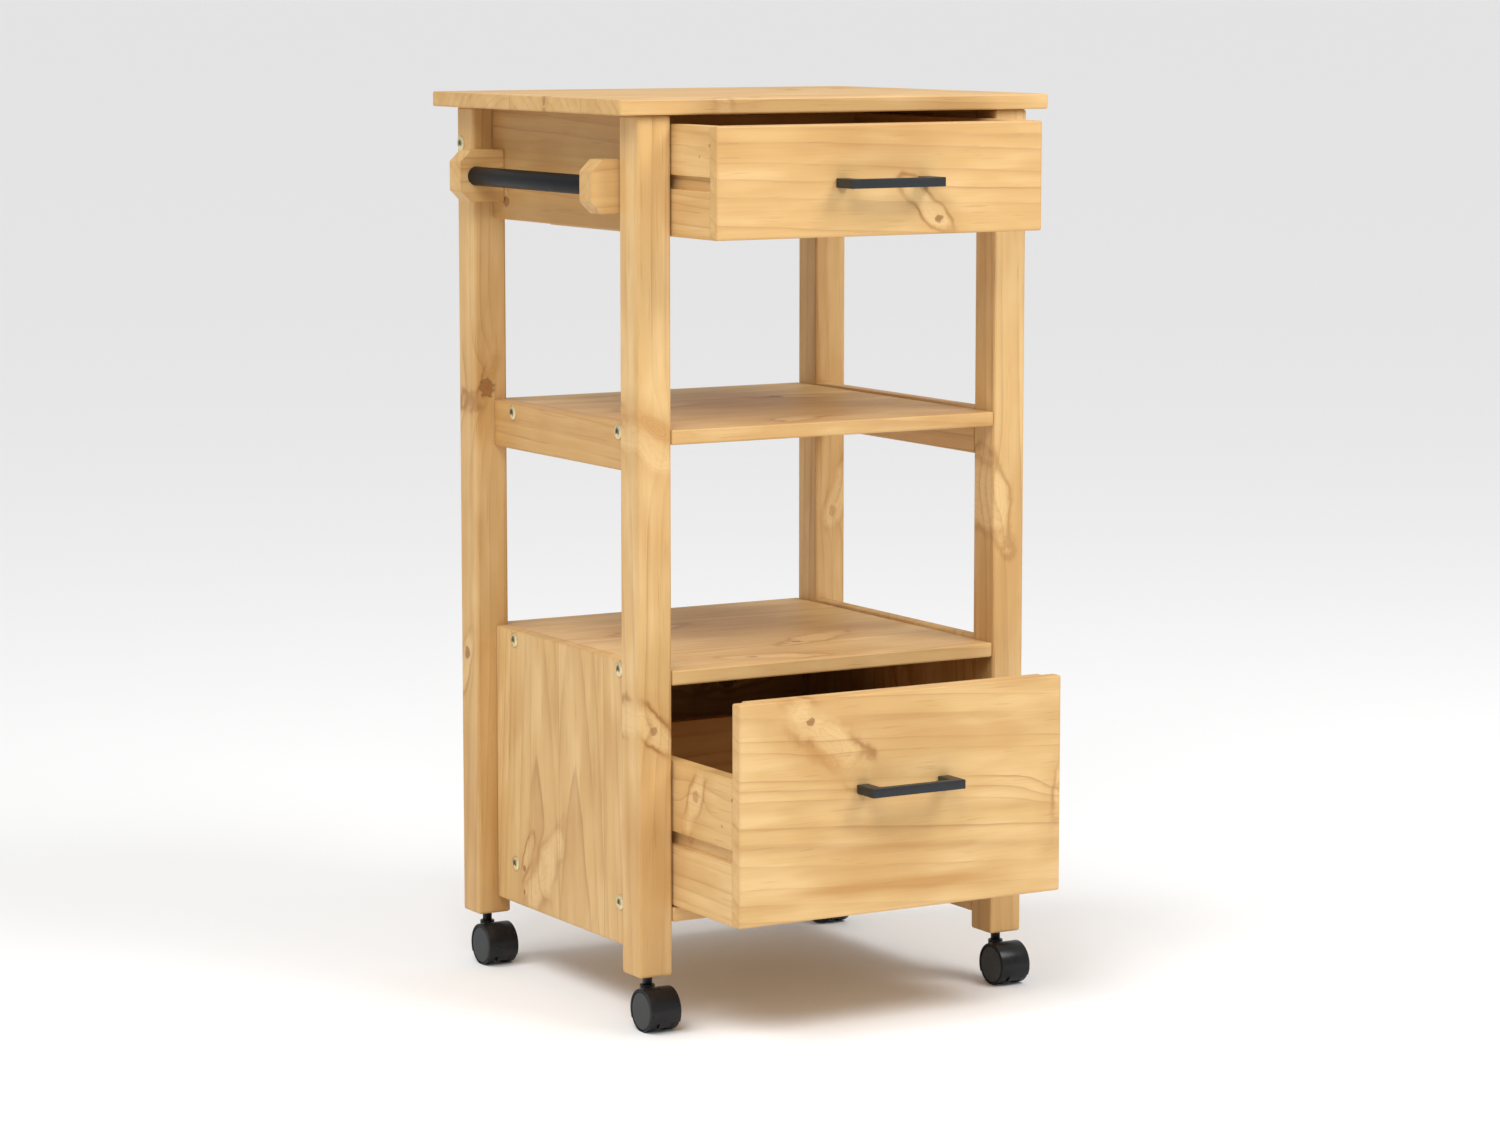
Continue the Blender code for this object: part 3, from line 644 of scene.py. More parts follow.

# %% [markdown]
# Legs and rails are cut whole, from wood with small knots. Three legs get a band of painted shade,
# darker and warmer, towards their feet.

# %% The legs and the rails
BOARDS |= {
    "upper_back_rail": Board("X", "Z", 41, (0.03, 0.12), 0.0110, knots=(
        Knot(0.08, 0.01, 0.006, 0.060, 20),
    )),
    # The left apron's high tone is painted shade under the worktop's overhang.
    "apron_left": Board("Y", "Z", 43, (0.14, 0.09), 0.0120, tone=0.58, knots=(
        Knot(0.124, -0.038, 0.0048, 0.050, 60),
    )),
    "apron_right": Board("Y", "Z", 47, (-0.15, -0.09), 0.0120, knots=(
        Knot(-0.04, 0.02, 0.006, 0.070, 15),
    )),
    "shelf_rail_left": Board("Y", "Z", 53, (0.15, 0.09), 0.0110, tone=0.56),
    "shelf_rail_right": Board("Y", "Z", 59, (-0.15, -0.08), 0.0110),
    # The bands near the feet of the next three legs are painted shade.
    "leg_front_left": Board("Z", "X", 61, (0.100, 0.075), 0.0130, knots=(
        Knot(0.098, 0.000, 0.0060, 0.085, 128, 0.0, 1.5, dark=0.0, rim=0.3),
        Knot(0.118, 0.002, 0.0060, 0.060, 126, 0.0, 1.5, dark=0.0, rim=0.6, wood=AMBER_WOOD),
        Knot(-0.174, -0.002, 0.0034, 0.085, 126, 0.0, 2.0, dark=0.75, rim=0.9),
    ), streaks=((0.000, 0.030, (-0.420, 0.200), 0.40),)),
    "leg_front_right": Board("Z", "X", 67, (-0.110, 0.080), 0.0120, knots=(
        Knot(0.040, -0.020, 0.0060, 0.090, 165, 0.1, 1.5, dark=0.0),
    ), streaks=((0.000, 0.030, (-0.420, 0.200), 0.50),)),
    # This leg's tone, as well as the band near its foot, is painted shade.
    "leg_back_left": Board("Z", "X", 71, (0.105, -0.08), 0.0120, tone=0.12, knots=(
        Knot(0.131, -0.005, 0.0078, 0.060, 20, 0.2, rim=0.8, wood=AMBER_WOOD),
        Knot(-0.145, 0.004, 0.0050, 0.060, 160, 0.2, through="wide"),
    ), streaks=((0.010, 0.016, (-0.420, 0.280), 0.80),)),
    "leg_back_right": Board("Z", "X", 73, (-0.110, -0.09), 0.0130, knots=(
        Knot(-0.02, 0.003, 0.0045, 0.070, 20, dark=0.4),
    )),
    "towel_block_front": Board("X", "Z", 79, (0.06, 0.05), 0.0090, tone=0.16),
    "towel_block_back": Board("X", "Z", 83, (-0.06, 0.05), 0.0090, tone=0.05),
}
print(len(BOARDS), "boards with the legs and rails")

# %% [markdown]
# Each drawer front is a single wide board with a good knot, because it is looked at most. The sides
# have plainer wood. The right side, the back and the bottom, seen from inside, get painted shade.

# %% The drawers
BOARDS |= {
    "upper_drawer_front": Board(
        "X", "Z", 89, (-0.170, 0.100), 0.0150, taper=0.03, tone=0.15, knots=(
            Knot(0.064, -0.0385, 0.0034, 0.068, -42, -0.22, rim=0.9),
        )),
    "lower_drawer_front": Board(
        "X", "Z", 97, (-0.250, 0.120), 0.0160, taper=0.06, knots=(
            Knot(-0.104, 0.085, 0.0036, 0.118, -43, 0.22, rim=0.75),
            Knot(-0.092, 0.050, 0.0060, 0.060, -30, 0.0, 0.5, dark=0.0, rim=0.0, wood=AMBER_WOOD),
            Knot(0.186, -0.004, 0.0070, 0.070, 75, 0.0, 2.0, dark=0.30),
        ), streaks=((-0.083, 0.007, (-0.010, 0.150), 0.75),)),
}
for level, seed in (("upper", 101), ("lower", 113)):
    BOARDS[f"{level}_drawer_side_left"] = Board("Y", "Z", seed, (0.13, 0.07), 0.0120)
    # The tone of the right side, the back and the bottom is painted shade inside the drawer.
    BOARDS[f"{level}_drawer_side_right"] = Board("Y", "Z", seed + 2, (-0.13, -0.08), 0.0120, tone=0.2)
    BOARDS[f"{level}_drawer_back"] = Board("X", "Z", seed + 4, (0.12, 0.08), 0.0120, tone=0.25)
    BOARDS[f"{level}_drawer_bottom"] = Board("X", "Y", seed + 6, (0.02, 0.12), 0.0150, tone=0.25)
    BOARDS[f"{level}_runner_left"] = Board("Y", "Z", seed + 8, (0.06, 0.05), 0.0090)
    BOARDS[f"{level}_runner_right"] = Board("Y", "Z", seed + 9, (0.06, 0.05), 0.0090)
BOARDS["lower_drawer_side_left"].knots = (
    Knot(-0.090, 0.043, 0.0050, 0.070, -65, 0.0, dark=0.55),
)

for node in BOARDS:
    dress(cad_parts[node], pine(node))
print(len(BOARDS), "boards have their own pine")

# %% [markdown]
# ## Metal and plastic
#
# The pulls and the towel rod are powder-coated: a soft black with a fine orange-peel skin. The rod's
# coat is darker and less shiny, which is painted shade under the worktop. The casters are moulded
# black nylon, whose discs are a shade greyer than their treads. The bolts are brass plated and dull,
# and the darker metal in their sockets is painted shade.


# %% Hardware finishes
def powder_coat(name, dark, pale, shine):
    finish = Finish(name)
    place = finish.place()
    peel = finish.noise(place, 1500.0, 1.0)
    cloud = finish.noise(place, 28.0, 2.0)
    colour = finish.mix(cloud, dark, pale)
    return finish.surface(
        colour, 0.40 + (cloud - 0.5) * 0.16, Normal=finish.bump(peel, 0.00006, 0.5),
        Specular_IOR_Level=shine,
    )


def nylon(name, dark, pale, roughness):
    finish = Finish(name)
    place = finish.place()
    grain = finish.noise(place, 2600.0, 1.0)
    cloud = finish.noise(place, 60.0, 3.0)
    colour = finish.mix(cloud, dark, pale)
    return finish.surface(
        colour, roughness + (cloud - 0.5) * 0.2, Normal=finish.bump(grain, 0.00004, 0.4),
        Specular_IOR_Level=0.28,
    )


def plated(name, bright, dull):
    finish = Finish(name)
    place = finish.place()
    cloud = finish.noise(place, 240.0, 3.0)
    colour = finish.mix(cloud.smooth(0.35, 0.75), bright, dull)
    return finish.surface(
        colour, 0.30 + cloud * 0.25, Metallic=1.0, Normal=finish.bump(cloud, 0.00005, 0.3)
    )


PULL_BLACK = powder_coat("pull_black", (0.014, 0.016, 0.018), (0.022, 0.025, 0.028), 0.30)
# The rod's coat is darker and duller than the pulls': painted shade under the worktop's overhang.
ROD_BLACK_PAINTED_SHADE = powder_coat("rod_black_painted_shade", (0.006, 0.007, 0.008), (0.010, 0.011, 0.012), 0.10)
HOOD_NYLON = nylon("hood_nylon", (0.006, 0.006, 0.007), (0.012, 0.012, 0.013), 0.30)
DISC_NYLON = nylon("disc_nylon", (0.038, 0.040, 0.041), (0.050, 0.052, 0.053), 0.58)
TREAD_NYLON = nylon("tread_nylon", (0.005, 0.005, 0.006), (0.010, 0.010, 0.011), 0.45)
STEM_BLACK = plated("stem_black", (0.050, 0.050, 0.052), (0.020, 0.020, 0.021))
AXLE_STEEL = plated("axle_steel", (0.50, 0.50, 0.51), (0.36, 0.36, 0.37))
DULL_BRASS = plated("dull_brass", (0.86, 0.76, 0.48), (0.62, 0.53, 0.31))
# A darker copy of the plating, used as painted shade inside the sockets.
SOCKET_PAINTED_SHADE = plated("socket_painted_shade", (0.36, 0.29, 0.16), (0.20, 0.16, 0.085))
NAIL_DARK = plated("nail_dark", (0.075, 0.052, 0.030), (0.035, 0.024, 0.014))
print("hardware finishes are made")

# %% [markdown]
# ## Working in edit mode
#
# Every new piece starts as a primitive at the origin and is shaped there in edit mode. Everything
# else is deselected first, so that the primitive is the only object being edited.


# %% Start a shape
def start_editing(name):
    """Names the primitive that was just added and opens it with nothing selected."""
    piece = bpy.context.object
    piece.name = name
    bpy.ops.object.mode_set(mode="EDIT")
    bpy.ops.mesh.select_mode(type="FACE")
    bpy.ops.mesh.select_all(action="DESELECT")
    return piece


def add_cylinder(name, radius, depth, sides=64):
    bpy.ops.object.select_all(action="DESELECT")
    bpy.ops.mesh.primitive_cylinder_add(vertices=sides, radius=radius, depth=depth)
    return start_editing(name)


def add_block(name, size):
    bpy.ops.object.select_all(action="DESELECT")
    bpy.ops.mesh.primitive_cube_add(size=1)
    bpy.context.object.scale = size
    bpy.ops.object.transform_apply(location=False, rotation=False, scale=True)
    return start_editing(name)


print("shapes start as cylinders and blocks")

# %% [markdown]
# Faces and edges are picked by a test on their place and direction, as one would click them. The mesh
# is only read, and its selection set: the shaping itself is left to Blender's own tools.


# %% Pick and push
def pick_faces(piece, wanted):
    """Selects the faces for which wanted(middle, normal) holds."""
    bpy.ops.mesh.select_all(action="DESELECT")
    cage = bmesh.from_edit_mesh(piece.data)
    for face in cage.faces:
        face.select_set(wanted(face.calc_center_median(), face.normal))
    bmesh.update_edit_mesh(piece.data)


def pick_edges(piece, wanted):
    """Selects the edges for which wanted(first end, second end) holds."""
    bpy.ops.mesh.select_mode(type="EDGE")
    bpy.ops.mesh.select_all(action="DESELECT")
    cage = bmesh.from_edit_mesh(piece.data)
    for edge in cage.edges:
        edge.select_set(wanted(edge.verts[0].co, edge.verts[1].co))
    bmesh.update_edit_mesh(piece.data)


def push(distance_up):
    """Moves the selected faces up their own Z."""
    bpy.ops.transform.translate(value=(0, 0, distance_up))


def raise_face(distance_up):
    """Extrudes the selected faces along Z."""
    bpy.ops.mesh.extrude_region_move(TRANSFORM_OT_translate={"value": (0, 0, distance_up)})


print("faces can be picked, pushed and raised")

# %% [markdown]
# No real edge is perfectly sharp, so a finished shape gets a small bevel that catches the light, and
# smooth shading up to an angle. Pockets and holes are cut with a second shape, which then goes.


# %% Round and cut
def finish_shape(piece, bevel=0.0, segments=2, angle=30):
    """Leaves edit mode, rounds the sharp edges and shades the piece smooth."""
    bpy.ops.object.mode_set(mode="OBJECT")
    bpy.ops.object.select_all(action="DESELECT")
    piece.select_set(True)
    bpy.context.view_layer.objects.active = piece
    if bevel:
        rounding = piece.modifiers.new("rounding", "BEVEL")
        rounding.width = bevel
        rounding.segments = segments
        rounding.limit_method = "ANGLE"
        rounding.angle_limit = math.radians(angle)
        bpy.ops.object.modifier_apply(modifier=rounding.name)
    bpy.ops.object.shade_smooth_by_angle(angle=math.radians(angle))
    return piece


def cut(piece, cutter, operation="DIFFERENCE"):
    """Cuts a piece with another, or joins them, and removes the other."""
    step = piece.modifiers.new("cut", "BOOLEAN")
    step.operation = operation
    step.object = cutter
    bpy.context.view_layer.objects.active = piece
    bpy.ops.object.modifier_apply(modifier=step.name)
    bpy.data.objects.remove(cutter, do_unlink=True)


print("shapes can be rounded and cut")

# %% [markdown]
# A finished shape is copied to each place where it belongs. The place goes into the copy's own mesh,
# so every object stays at the origin. Each copy rides on the body that it moves with.


# %% Copies
def facing(axis):
    """The turn that points a shape's +Z along an axis."""
    return Vector((0, 0, 1)).rotation_difference(Vector(axis)).to_matrix().to_4x4()


def set_copy(master, name, place, axis, body, replaced=()):
    """A copy of a finished shape, standing at a place with its +Z along an axis."""
    piece = bpy.data.objects.new(name, master.data.copy())
    scene.collection.objects.link(piece)
    piece.data.transform(Matrix.Translation(place) @ facing(axis))
    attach(piece, body)
    if replaced:
        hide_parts(*replaced)
    return piece


print("shapes can be copied to their places")

# %% [markdown]
# ## Bolts
#
# Low round heads with a hexagon socket hold the shelf and the cabinet's boards. The head is a disc
# whose top is stepped in and up twice, which makes its low dome. The socket is cut with a
# six-sided prism. Its faces get a darker copy of the plating, which is painted shade in the recess.

# %% Bolt
BOLT_RADIUS = 0.0075
BOLT_RIM = 0.0009
BOLT_DOME = 0.0009
DOME_STEPS = ((0.0008, 0.45), (0.0013, 0.35), (0.0014, 0.20))
SOCKET_RADIUS = 0.0023
SOCKET_DEPTH = 0.0012

bolt = add_cylinder("bolt", BOLT_RADIUS, BOLT_RIM, 40)
pick_faces(bolt, lambda middle, normal: normal.z > 0.9)
for step_in, share_up in DOME_STEPS:
    bpy.ops.mesh.inset(thickness=step_in)
    push(share_up * BOLT_DOME)
finish_shape(bolt)
bolt_socket = add_cylinder("bolt_socket", SOCKET_RADIUS, 2 * SOCKET_DEPTH, 6)
bpy.ops.object.mode_set(mode="OBJECT")
bolt_top = BOLT_RIM / 2 + BOLT_DOME
bolt_socket.data.transform(Matrix.Translation((0, 0, bolt_top)))
cut(bolt, bolt_socket)
bolt.data.transform(Matrix.Translation((0, 0, BOLT_RIM / 2)))
dress(bolt, DULL_BRASS, SOCKET_PAINTED_SHADE)
# The faces in the socket take the second material, painted shade in the recess.
for face in bolt.data.polygons:
    above_rim = face.center.z > BOLT_RIM / 2
    face.material_index = int(above_rim and Vector(face.center.xy).length < 0.99 * SOCKET_RADIUS)
finish_shape(bolt)
print("bolt:", len(bolt.data.polygons), "faces")

# %% [markdown]
# The bolts sit in pairs at the middle of each board's thickness, as far in from the legs as a drill
# was set. Two more go through the back legs into the rail behind the drawer.

# %% Set the bolts
BOLT_FROM_LEG = 0.042
RAIL_BOLT_SHARE = 0.67

side_faces = {
    "left": (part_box("cabinet_side_left")[0].x, -1),
    "right": (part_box("cabinet_side_right")[1].x, 1),
}
bolt_rows = {
    "front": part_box("leg_front_left")[1].y + BOLT_FROM_LEG,
    "back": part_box("leg_back_left")[0].y - BOLT_FROM_LEG,
}
for side, (face_x, outward) in side_faces.items():
    for row, y in bolt_rows.items():
        for board in ("middle_shelf", "lower_shelf", "cabinet_floor"):
            low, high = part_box(board)
            replaced = (f"shelf_bolt_{row}_{side}",) if board == "middle_shelf" else ()
            spot = (face_x, y, (low.z + high.z) / 2)
            set_copy(
                bolt, f"bolt_{board}_{row}_{side}", spot, (outward, 0, 0), "frame",
                replaced,
            )
    low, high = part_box(f"leg_back_{side}")
    rail_low, rail_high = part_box("upper_back_rail")
    rail_y = (rail_low.y + rail_high.y) / 2
    leg_x = low.x if outward < 0 else high.x
    spot = (leg_x, rail_y, rail_low.z + RAIL_BOLT_SHARE * (rail_high.z - rail_low.z))
    set_copy(bolt, f"bolt_back_rail_{side}", spot, (outward, 0, 0), "frame")
bpy.data.objects.remove(bolt, do_unlink=True)
print("14 bolts are set")

# %% [markdown]
# ## Pulls
#
# Each pull is a flat bar with two feet. A block is cut into three lengths, and the back faces of the
# two ends are extruded to the drawer's front. The two inner corners, where a foot meets the bar, are
# rounded first. All the other edges are then bevelled, as on a cast pull.

# %% Pull
PULL_BAR = 0.0080
PULL_FOOT = 0.0130
PULL_ROUNDING = 0.0007
PULL_CORNER = 0.0022
HAIR = 0.00001

pull_low, pull_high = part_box("upper_drawer_pull")
pull_size = pull_high - pull_low
pull = add_block("pull", (pull_size.x, PULL_BAR, pull_size.z))
foot_start = pull_size.x / 2 - PULL_FOOT
for x in (-foot_start, foot_start):
    bpy.ops.mesh.select_all(action="SELECT")
    bpy.ops.mesh.bisect(plane_co=(x, 0, 0), plane_no=(1, 0, 0))
pick_faces(pull, lambda middle, normal: normal.y > 0.9 and abs(middle.x) > foot_start)
reach = pull_size.y - PULL_BAR
bpy.ops.mesh.extrude_region_move(TRANSFORM_OT_translate={"value": (0, reach, 0)})
pick_edges(pull, lambda first, second: (
    abs(abs(first.x) - foot_start) < HAIR and abs(abs(second.x) - foot_start) < HAIR
    and abs(first.y - PULL_BAR / 2) < HAIR and abs(second.y - PULL_BAR / 2) < HAIR
    and abs(first.z - second.z) > HAIR
))
bpy.ops.mesh.bevel(offset=PULL_CORNER, segments=3, affect="EDGES")
finish_shape(pull, PULL_ROUNDING, 3)
pull.data.transform(Matrix.Translation((0, PULL_BAR / 2, 0)))
for level in ("upper", "lower"):
    node = f"{level}_drawer_pull"
    low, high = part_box(node)
    spot = ((low.x + high.x) / 2, low.y, (low.z + high.z) / 2)
    piece = set_copy(pull, f"{level}_pull", spot, (0, 0, 1), f"{level}_drawer", (node,))
    dress(piece, PULL_BLACK)
bpy.data.objects.remove(pull, do_unlink=True)
print("pulls:", [round(1000 * value, 1) for value in pull_size], "mm")

# %% [markdown]
# ## Towel rod
#
# The rod is a plain tube between the two blocks. It only has to be rounder than its solid, and its
# ends are rounded over inside their seats.

# %% Towel rod
ROD_ROUNDING = 0.0010

rod_low, rod_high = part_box("towel_rod")
rod = add_cylinder("rod", (rod_high.x - rod_low.x) / 2, rod_high.y - rod_low.y, 72)
finish_shape(rod, ROD_ROUNDING, 3)
piece = set_copy(
    rod, "towel_rail_rod", (rod_low + rod_high) / 2, (0, 1, 0), "frame", ("towel_rod",)
)
dress(piece, ROD_BLACK_PAINTED_SHADE)
bpy.data.objects.remove(rod, do_unlink=True)
print("rod is in its seats")

# %% [markdown]
# ## Casters
#
# A furniture caster has two wheels under one moulded hood. All four are alike, so one is measured
# from the frame and modelled, with its stem's axis on the Z axis and the floor at zero.

# %% Sizes from the frame
hood_low, hood_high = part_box("caster_front_left_hood")
wheel_low, wheel_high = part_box("caster_front_left_wheel_left")
stem_low, stem_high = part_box("caster_front_left_stem")
axle_low, axle_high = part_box("caster_front_left_axle")
stem_axis = (stem_low + stem_high) / 2
axle_from_stem = (axle_low + axle_high) / 2 - Vector((stem_axis.x, stem_axis.y, 0))
WHEEL_RADIUS = (wheel_high.z - wheel_low.z) / 2
WHEEL_WIDTH = wheel_high.x - wheel_low.x
STEM_RADIUS = (stem_high.x - stem_low.x) / 2
HOOD_WIDTH = hood_high.x - hood_low.x
HOOD_RADIUS = axle_from_stem.y - (hood_low.y - stem_axis.y)
HOOD_UNDERSIDE = hood_low.z
BOSS_TOP = hood_high.z
print("wheel radius", round(1000 * WHEEL_RADIUS, 2), "hood radius", round(1000 * HOOD_RADIUS, 2), "mm")

# %% [markdown]
# The hood is a drum with a pocket for each wheel, so its rim shows as a thin ring round each disc. A
# boss behind the axle takes the stem. The drum's rims are bevelled before the pockets are cut, so
# that the cut leaves a crisp inner edge. The skirt ends above the floor, and the web between the
# wheels reaches lower.


# %% Hood
HOOD_WALL = 0.0011
HOOD_ROUNDING = 0.0007
HOOD_SKIRT = 0.0105
WHEEL_PLAY = 0.0003
WEB_WIDTH = HOOD_WIDTH - 2 * (WHEEL_WIDTH + WHEEL_PLAY)
BOSS_WALL = 0.0027
BOSS_FOOT = 0.014
BOSS_ROUNDING = 0.0006
STEM_PLAY = 0.0003
STEM_SEAT = stem_low.z - 0.0006
STEM_HOLE = 0.030


def lying(piece, x=0.0):
    """Lays an upright shape along X, on the axle's line."""
    bpy.ops.object.mode_set(mode="OBJECT")
    piece.data.transform(Matrix.Translation(axle_from_stem + Vector((x, 0, 0))) @ facing((1, 0, 0)))


hood = add_cylinder("hood", HOOD_RADIUS, HOOD_WIDTH, 96)
bpy.ops.object.mode_set(mode="OBJECT")
finish_shape(hood, HOOD_ROUNDING, 3)
lying(hood)
boss = add_cylinder("boss", STEM_RADIUS + BOSS_WALL, BOSS_TOP - BOSS_FOOT, 40)
finish_shape(boss, BOSS_ROUNDING, 2)
boss.data.transform(Matrix.Translation((0, 0, (BOSS_TOP + BOSS_FOOT) / 2)))
cut(hood, boss, "UNION")
for outward in (-1, 1):
    pocket = add_cylinder("pocket", HOOD_RADIUS - HOOD_WALL, 2 * WHEEL_WIDTH, 96)
    lying(pocket, outward * (WEB_WIDTH / 2 + WHEEL_WIDTH))
    cut(hood, pocket)
    skirt = add_block("skirt", (HOOD_WIDTH, 4 * HOOD_RADIUS, HOOD_RADIUS))
    bpy.ops.object.mode_set(mode="OBJECT")
    skirt_x = outward * (WEB_WIDTH + HOOD_WIDTH) / 2
    skirt.data.transform(Matrix.Translation((skirt_x, 0, HOOD_SKIRT - HOOD_RADIUS / 2)))
    cut(hood, skirt)
foot = add_block("foot", (2 * HOOD_WIDTH, 4 * HOOD_RADIUS, HOOD_RADIUS))
bpy.ops.object.mode_set(mode="OBJECT")
foot.data.transform(Matrix.Translation((0, 0, HOOD_UNDERSIDE - HOOD_RADIUS / 2)))
cut(hood, foot)
stem_hole = add_cylinder("stem_hole", STEM_RADIUS + STEM_PLAY, STEM_HOLE, 40)
bpy.ops.object.mode_set(mode="OBJECT")
stem_hole.data.transform(Matrix.Translation((0, 0, STEM_SEAT + STEM_HOLE / 2)))
cut(hood, stem_hole)
finish_shape(hood)
dress(hood, HOOD_NYLON)
print("hood:", len(hood.data.polygons), "faces")

# %% [markdown]
# A wheel is a disc whose outer face is inset to a thin rim, sunk a little, and inset again to a
# slightly raised cover. The cover gets the greyer nylon, and the rest is tread.

# %% Wheel
RIM_WIDTH = 0.0014
RIM_DEPTH = 0.0013
COVER_GAP = 0.0009
COVER_RISE = 0.0011
CROWN_WIDTH = 0.0010
CROWN_RISE = 0.0002
DISH_WIDTH = 0.0090
DISH_DEPTH = 0.0003
WHEEL_ROUNDING = 0.0004

wheel = add_cylinder("wheel", WHEEL_RADIUS, WHEEL_WIDTH, 96)
pick_faces(wheel, lambda middle, normal: normal.z > 0.9)
bpy.ops.mesh.inset(thickness=RIM_WIDTH)
raise_face(-RIM_DEPTH)
bpy.ops.mesh.inset(thickness=COVER_GAP)
raise_face(COVER_RISE)
bpy.ops.mesh.inset(thickness=CROWN_WIDTH)
push(CROWN_RISE)
bpy.ops.mesh.inset(thickness=DISH_WIDTH)
push(-DISH_DEPTH)
finish_shape(wheel, WHEEL_ROUNDING, 2)
dress(wheel, TREAD_NYLON, DISC_NYLON)
cover_radius = WHEEL_RADIUS - RIM_WIDTH - COVER_GAP / 2
cover_low = WHEEL_WIDTH / 2 - RIM_DEPTH / 2
for face in wheel.data.polygons:
    on_cover = face.center.z > cover_low and Vector(face.center.xy).length < cover_radius
    face.material_index = int(on_cover)
print("wheel:", len(wheel.data.polygons), "faces")

# %% [markdown]
# The stem is a steel pin with a rounded groove near the hood, where a circlip sits.

# %% Stem
GROOVE_HEIGHT = 0.0410
GROOVE_WIDTH = 0.0010
GROOVE_DEPTH = 0.0005
STEM_ROUNDING = 0.0003

stem = add_cylinder("stem", STEM_RADIUS, stem_high.z - stem_low.z, 40)
groove_z = GROOVE_HEIGHT - (stem_low.z + stem_high.z) / 2
for z in (groove_z - GROOVE_WIDTH / 2, groove_z + GROOVE_WIDTH / 2):
    bpy.ops.mesh.select_all(action="SELECT")
    bpy.ops.mesh.bisect(plane_co=(0, 0, z), plane_no=(0, 0, 1))
pick_faces(stem, lambda middle, normal: abs(middle.z - groove_z) < 0.4 * GROOVE_WIDTH)
bpy.ops.mesh.inset(thickness=0.1 * GROOVE_WIDTH, depth=-GROOVE_DEPTH, use_even_offset=True)
finish_shape(stem, STEM_ROUNDING, 2)
dress(stem, STEM_BLACK)
print("stem:", len(stem.data.polygons), "faces")

# %% [markdown]
# A cover turns with its caster's swivel, the pin stays with the leg, and each wheel turns by itself.
# The axle's own solid is fine enough, and only gets steel.

# %% Set the casters
for row in ("front", "back"):
    for side in ("left", "right"):
        name = f"caster_{row}_{side}"
        low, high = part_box(f"{name}_stem")
        ground = Vector(((low.x + high.x) / 2, (low.y + high.y) / 2, 0))
        middle = Vector((ground.x, ground.y, (low.z + high.z) / 2))
        set_copy(hood, f"{name}_cover", ground, (0, 0, 1), name, (f"{name}_hood",))
        set_copy(stem, f"{name}_pin", middle, (0, 0, 1), "frame", (f"{name}_stem",))
        dress(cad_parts[f"{name}_axle"], AXLE_STEEL)
        for wheel_side, outward in (("left", -1), ("right", 1)):
            node = f"{name}_wheel_{wheel_side}"
            low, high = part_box(node)
            set_copy(
                wheel, f"{name}_{wheel_side}_wheel", (low + high) / 2, (outward, 0, 0), node,
                (node,),
            )
for master in (hood, wheel, stem):
    bpy.data.objects.remove(master, do_unlink=True)
print("four casters are set")

# %% [markdown]
# ## Nails and screws of the drawers
#
# A small nail holds each drawer side to its front, and another is driven a little behind it. A nail's
# head is a small disc, dished in the middle by the hammer.

# %% Nail
NAIL_RADIUS = 0.0013
NAIL_HEAD = 0.0006
NAIL_PROUD = 0.0001
NAIL_RIM = 0.0004
NAIL_DISH = 0.00015

nail = add_cylinder("nail", NAIL_RADIUS, NAIL_HEAD, 20)
pick_faces(nail, lambda middle, normal: normal.z > 0.9)
bpy.ops.mesh.inset(thickness=NAIL_RIM)
push(-NAIL_DISH)
finish_shape(nail)
dress(nail, NAIL_DARK)
print("nail:", len(nail.data.polygons), "faces")

# %% [markdown]
# From inside, two screws go through the front into the pull's feet. They are seen when a drawer is
# open. A screw's head rises in two steps, and its cross is cut by two flat blades at a right angle.

# %% Screw
SCREW_RADIUS = 0.0038
SCREW_HEAD = 0.0010
SCREW_STEPS = ((0.0006, 0.0005), (0.0010, 0.0003))
CROSS_LENGTH = 0.0034
CROSS_WIDTH = 0.0008
BLADE_HEIGHT = 0.0016
BLADE_MIDDLE = 0.0013

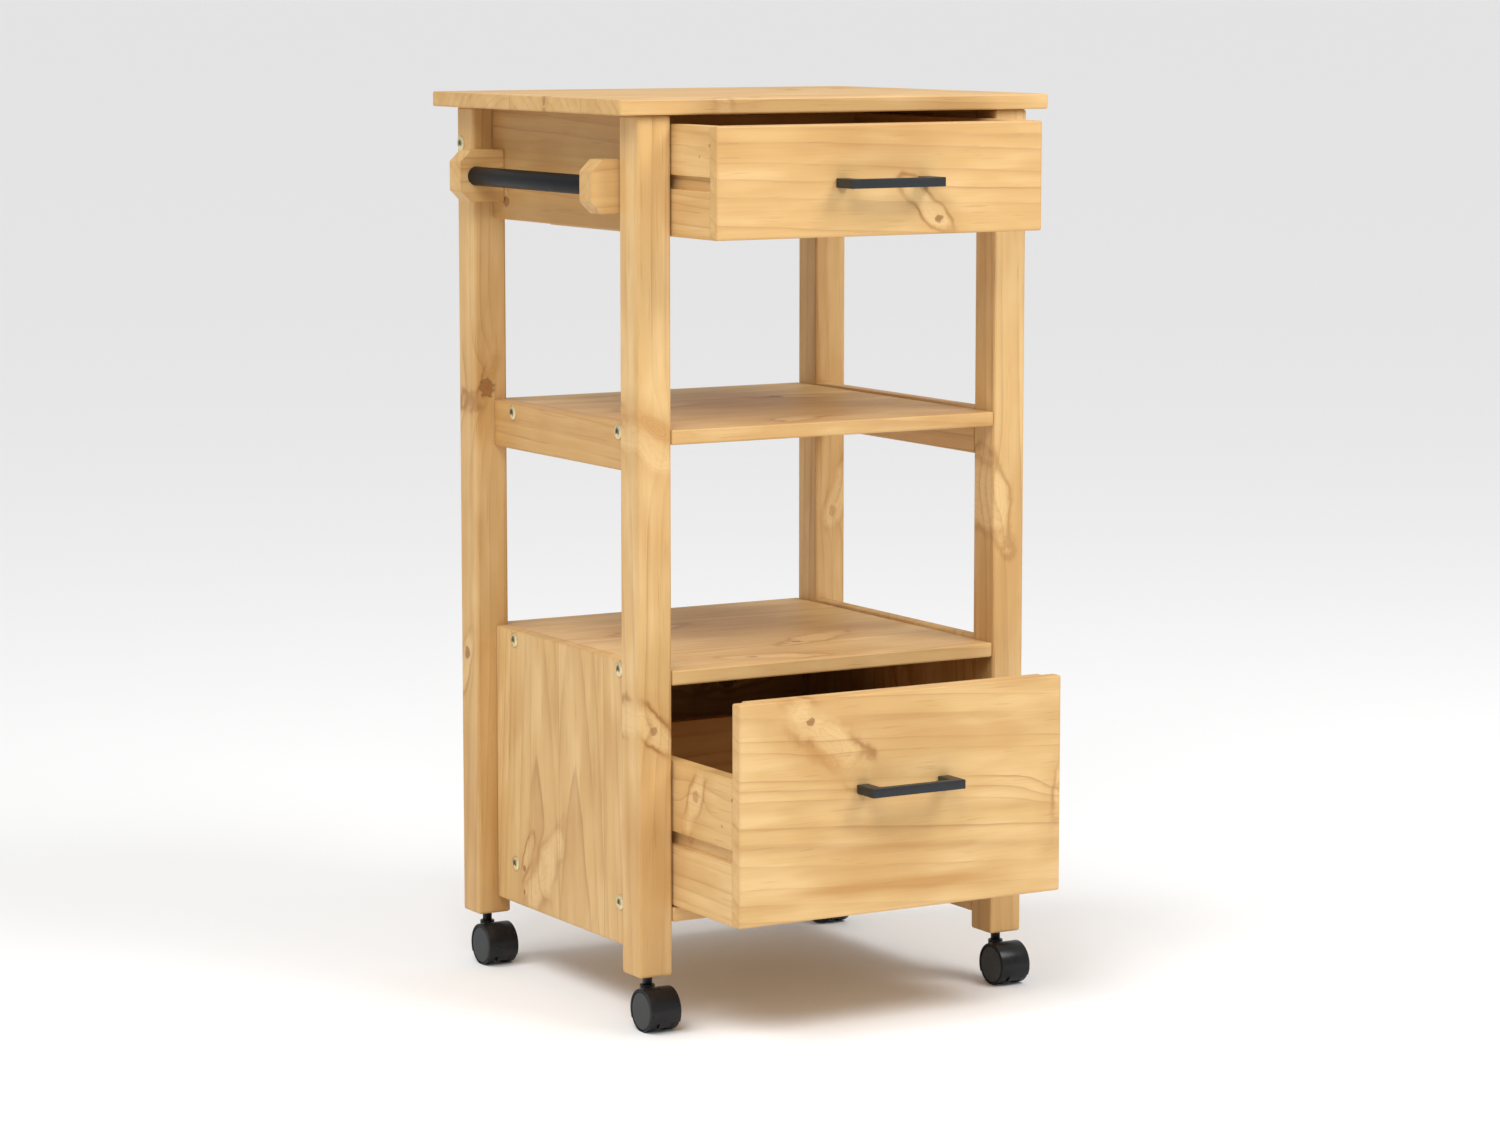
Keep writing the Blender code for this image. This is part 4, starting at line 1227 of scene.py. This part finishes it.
screw = add_cylinder("screw", SCREW_RADIUS, SCREW_HEAD, 32)
pick_faces(screw, lambda middle, normal: normal.z > 0.9)
for step_in, step_up in SCREW_STEPS:
    bpy.ops.mesh.inset(thickness=step_in)
    push(step_up)
finish_shape(screw)
for length, width in ((CROSS_LENGTH, CROSS_WIDTH), (CROSS_WIDTH, CROSS_LENGTH)):
    blade = add_block("blade", (length, width, BLADE_HEIGHT))
    bpy.ops.object.mode_set(mode="OBJECT")
    blade.data.transform(Matrix.Translation((0, 0, BLADE_MIDDLE)))
    cut(screw, blade)
finish_shape(screw)
dress(screw, AXLE_STEEL)
print("screw:", len(screw.data.polygons), "faces")

# %% [markdown]
# Each nail sits in a drawer's side, at its own height above the front's lower edge. Each screw sits
# on the front's inner face, behind a foot of the pull. All of them slide with the drawer.

# %% Set the nails and screws
NAIL_FROM_JOINT = 0.0016
NAIL_BEHIND = 0.020
JOINT_BEHIND = 0.012
NAIL_RISES = {"upper": (0.0775, 0.0885), "lower": (0.0940, 0.1220)}
SCREW_INSET = 0.0065

for level, rises in NAIL_RISES.items():
    front_low, front_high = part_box(f"{level}_drawer_front")
    for side, outward in (("left", -1), ("right", 1)):
        side_low, side_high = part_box(f"{level}_drawer_side_{side}")
        face_x = side_low.x if outward < 0 else side_high.x
        joint_y = front_low.y + JOINT_BEHIND
        nail_x = face_x + outward * (NAIL_PROUD - NAIL_HEAD / 2)
        for number, (behind, rise) in enumerate(zip((NAIL_BEHIND, NAIL_FROM_JOINT), rises)):
            spot = (nail_x, joint_y + behind, front_low.z + rise)
            name = f"{level}_nail_{side}_{number}"
            set_copy(nail, name, spot, (outward, 0, 0), f"{level}_drawer")
        low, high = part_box(f"{level}_drawer_pull")
        middle_x = (low.x + high.x) / 2 + outward * ((high.x - low.x) / 2 - SCREW_INSET)
        spot = (middle_x, front_high.y + SCREW_HEAD / 2, (low.z + high.z) / 2)
        set_copy(screw, f"{level}_pull_screw_{side}", spot, (0, 1, 0), f"{level}_drawer")
for master in (nail, screw):
    bpy.data.objects.remove(master, do_unlink=True)
print("8 nails and 4 screws are set")
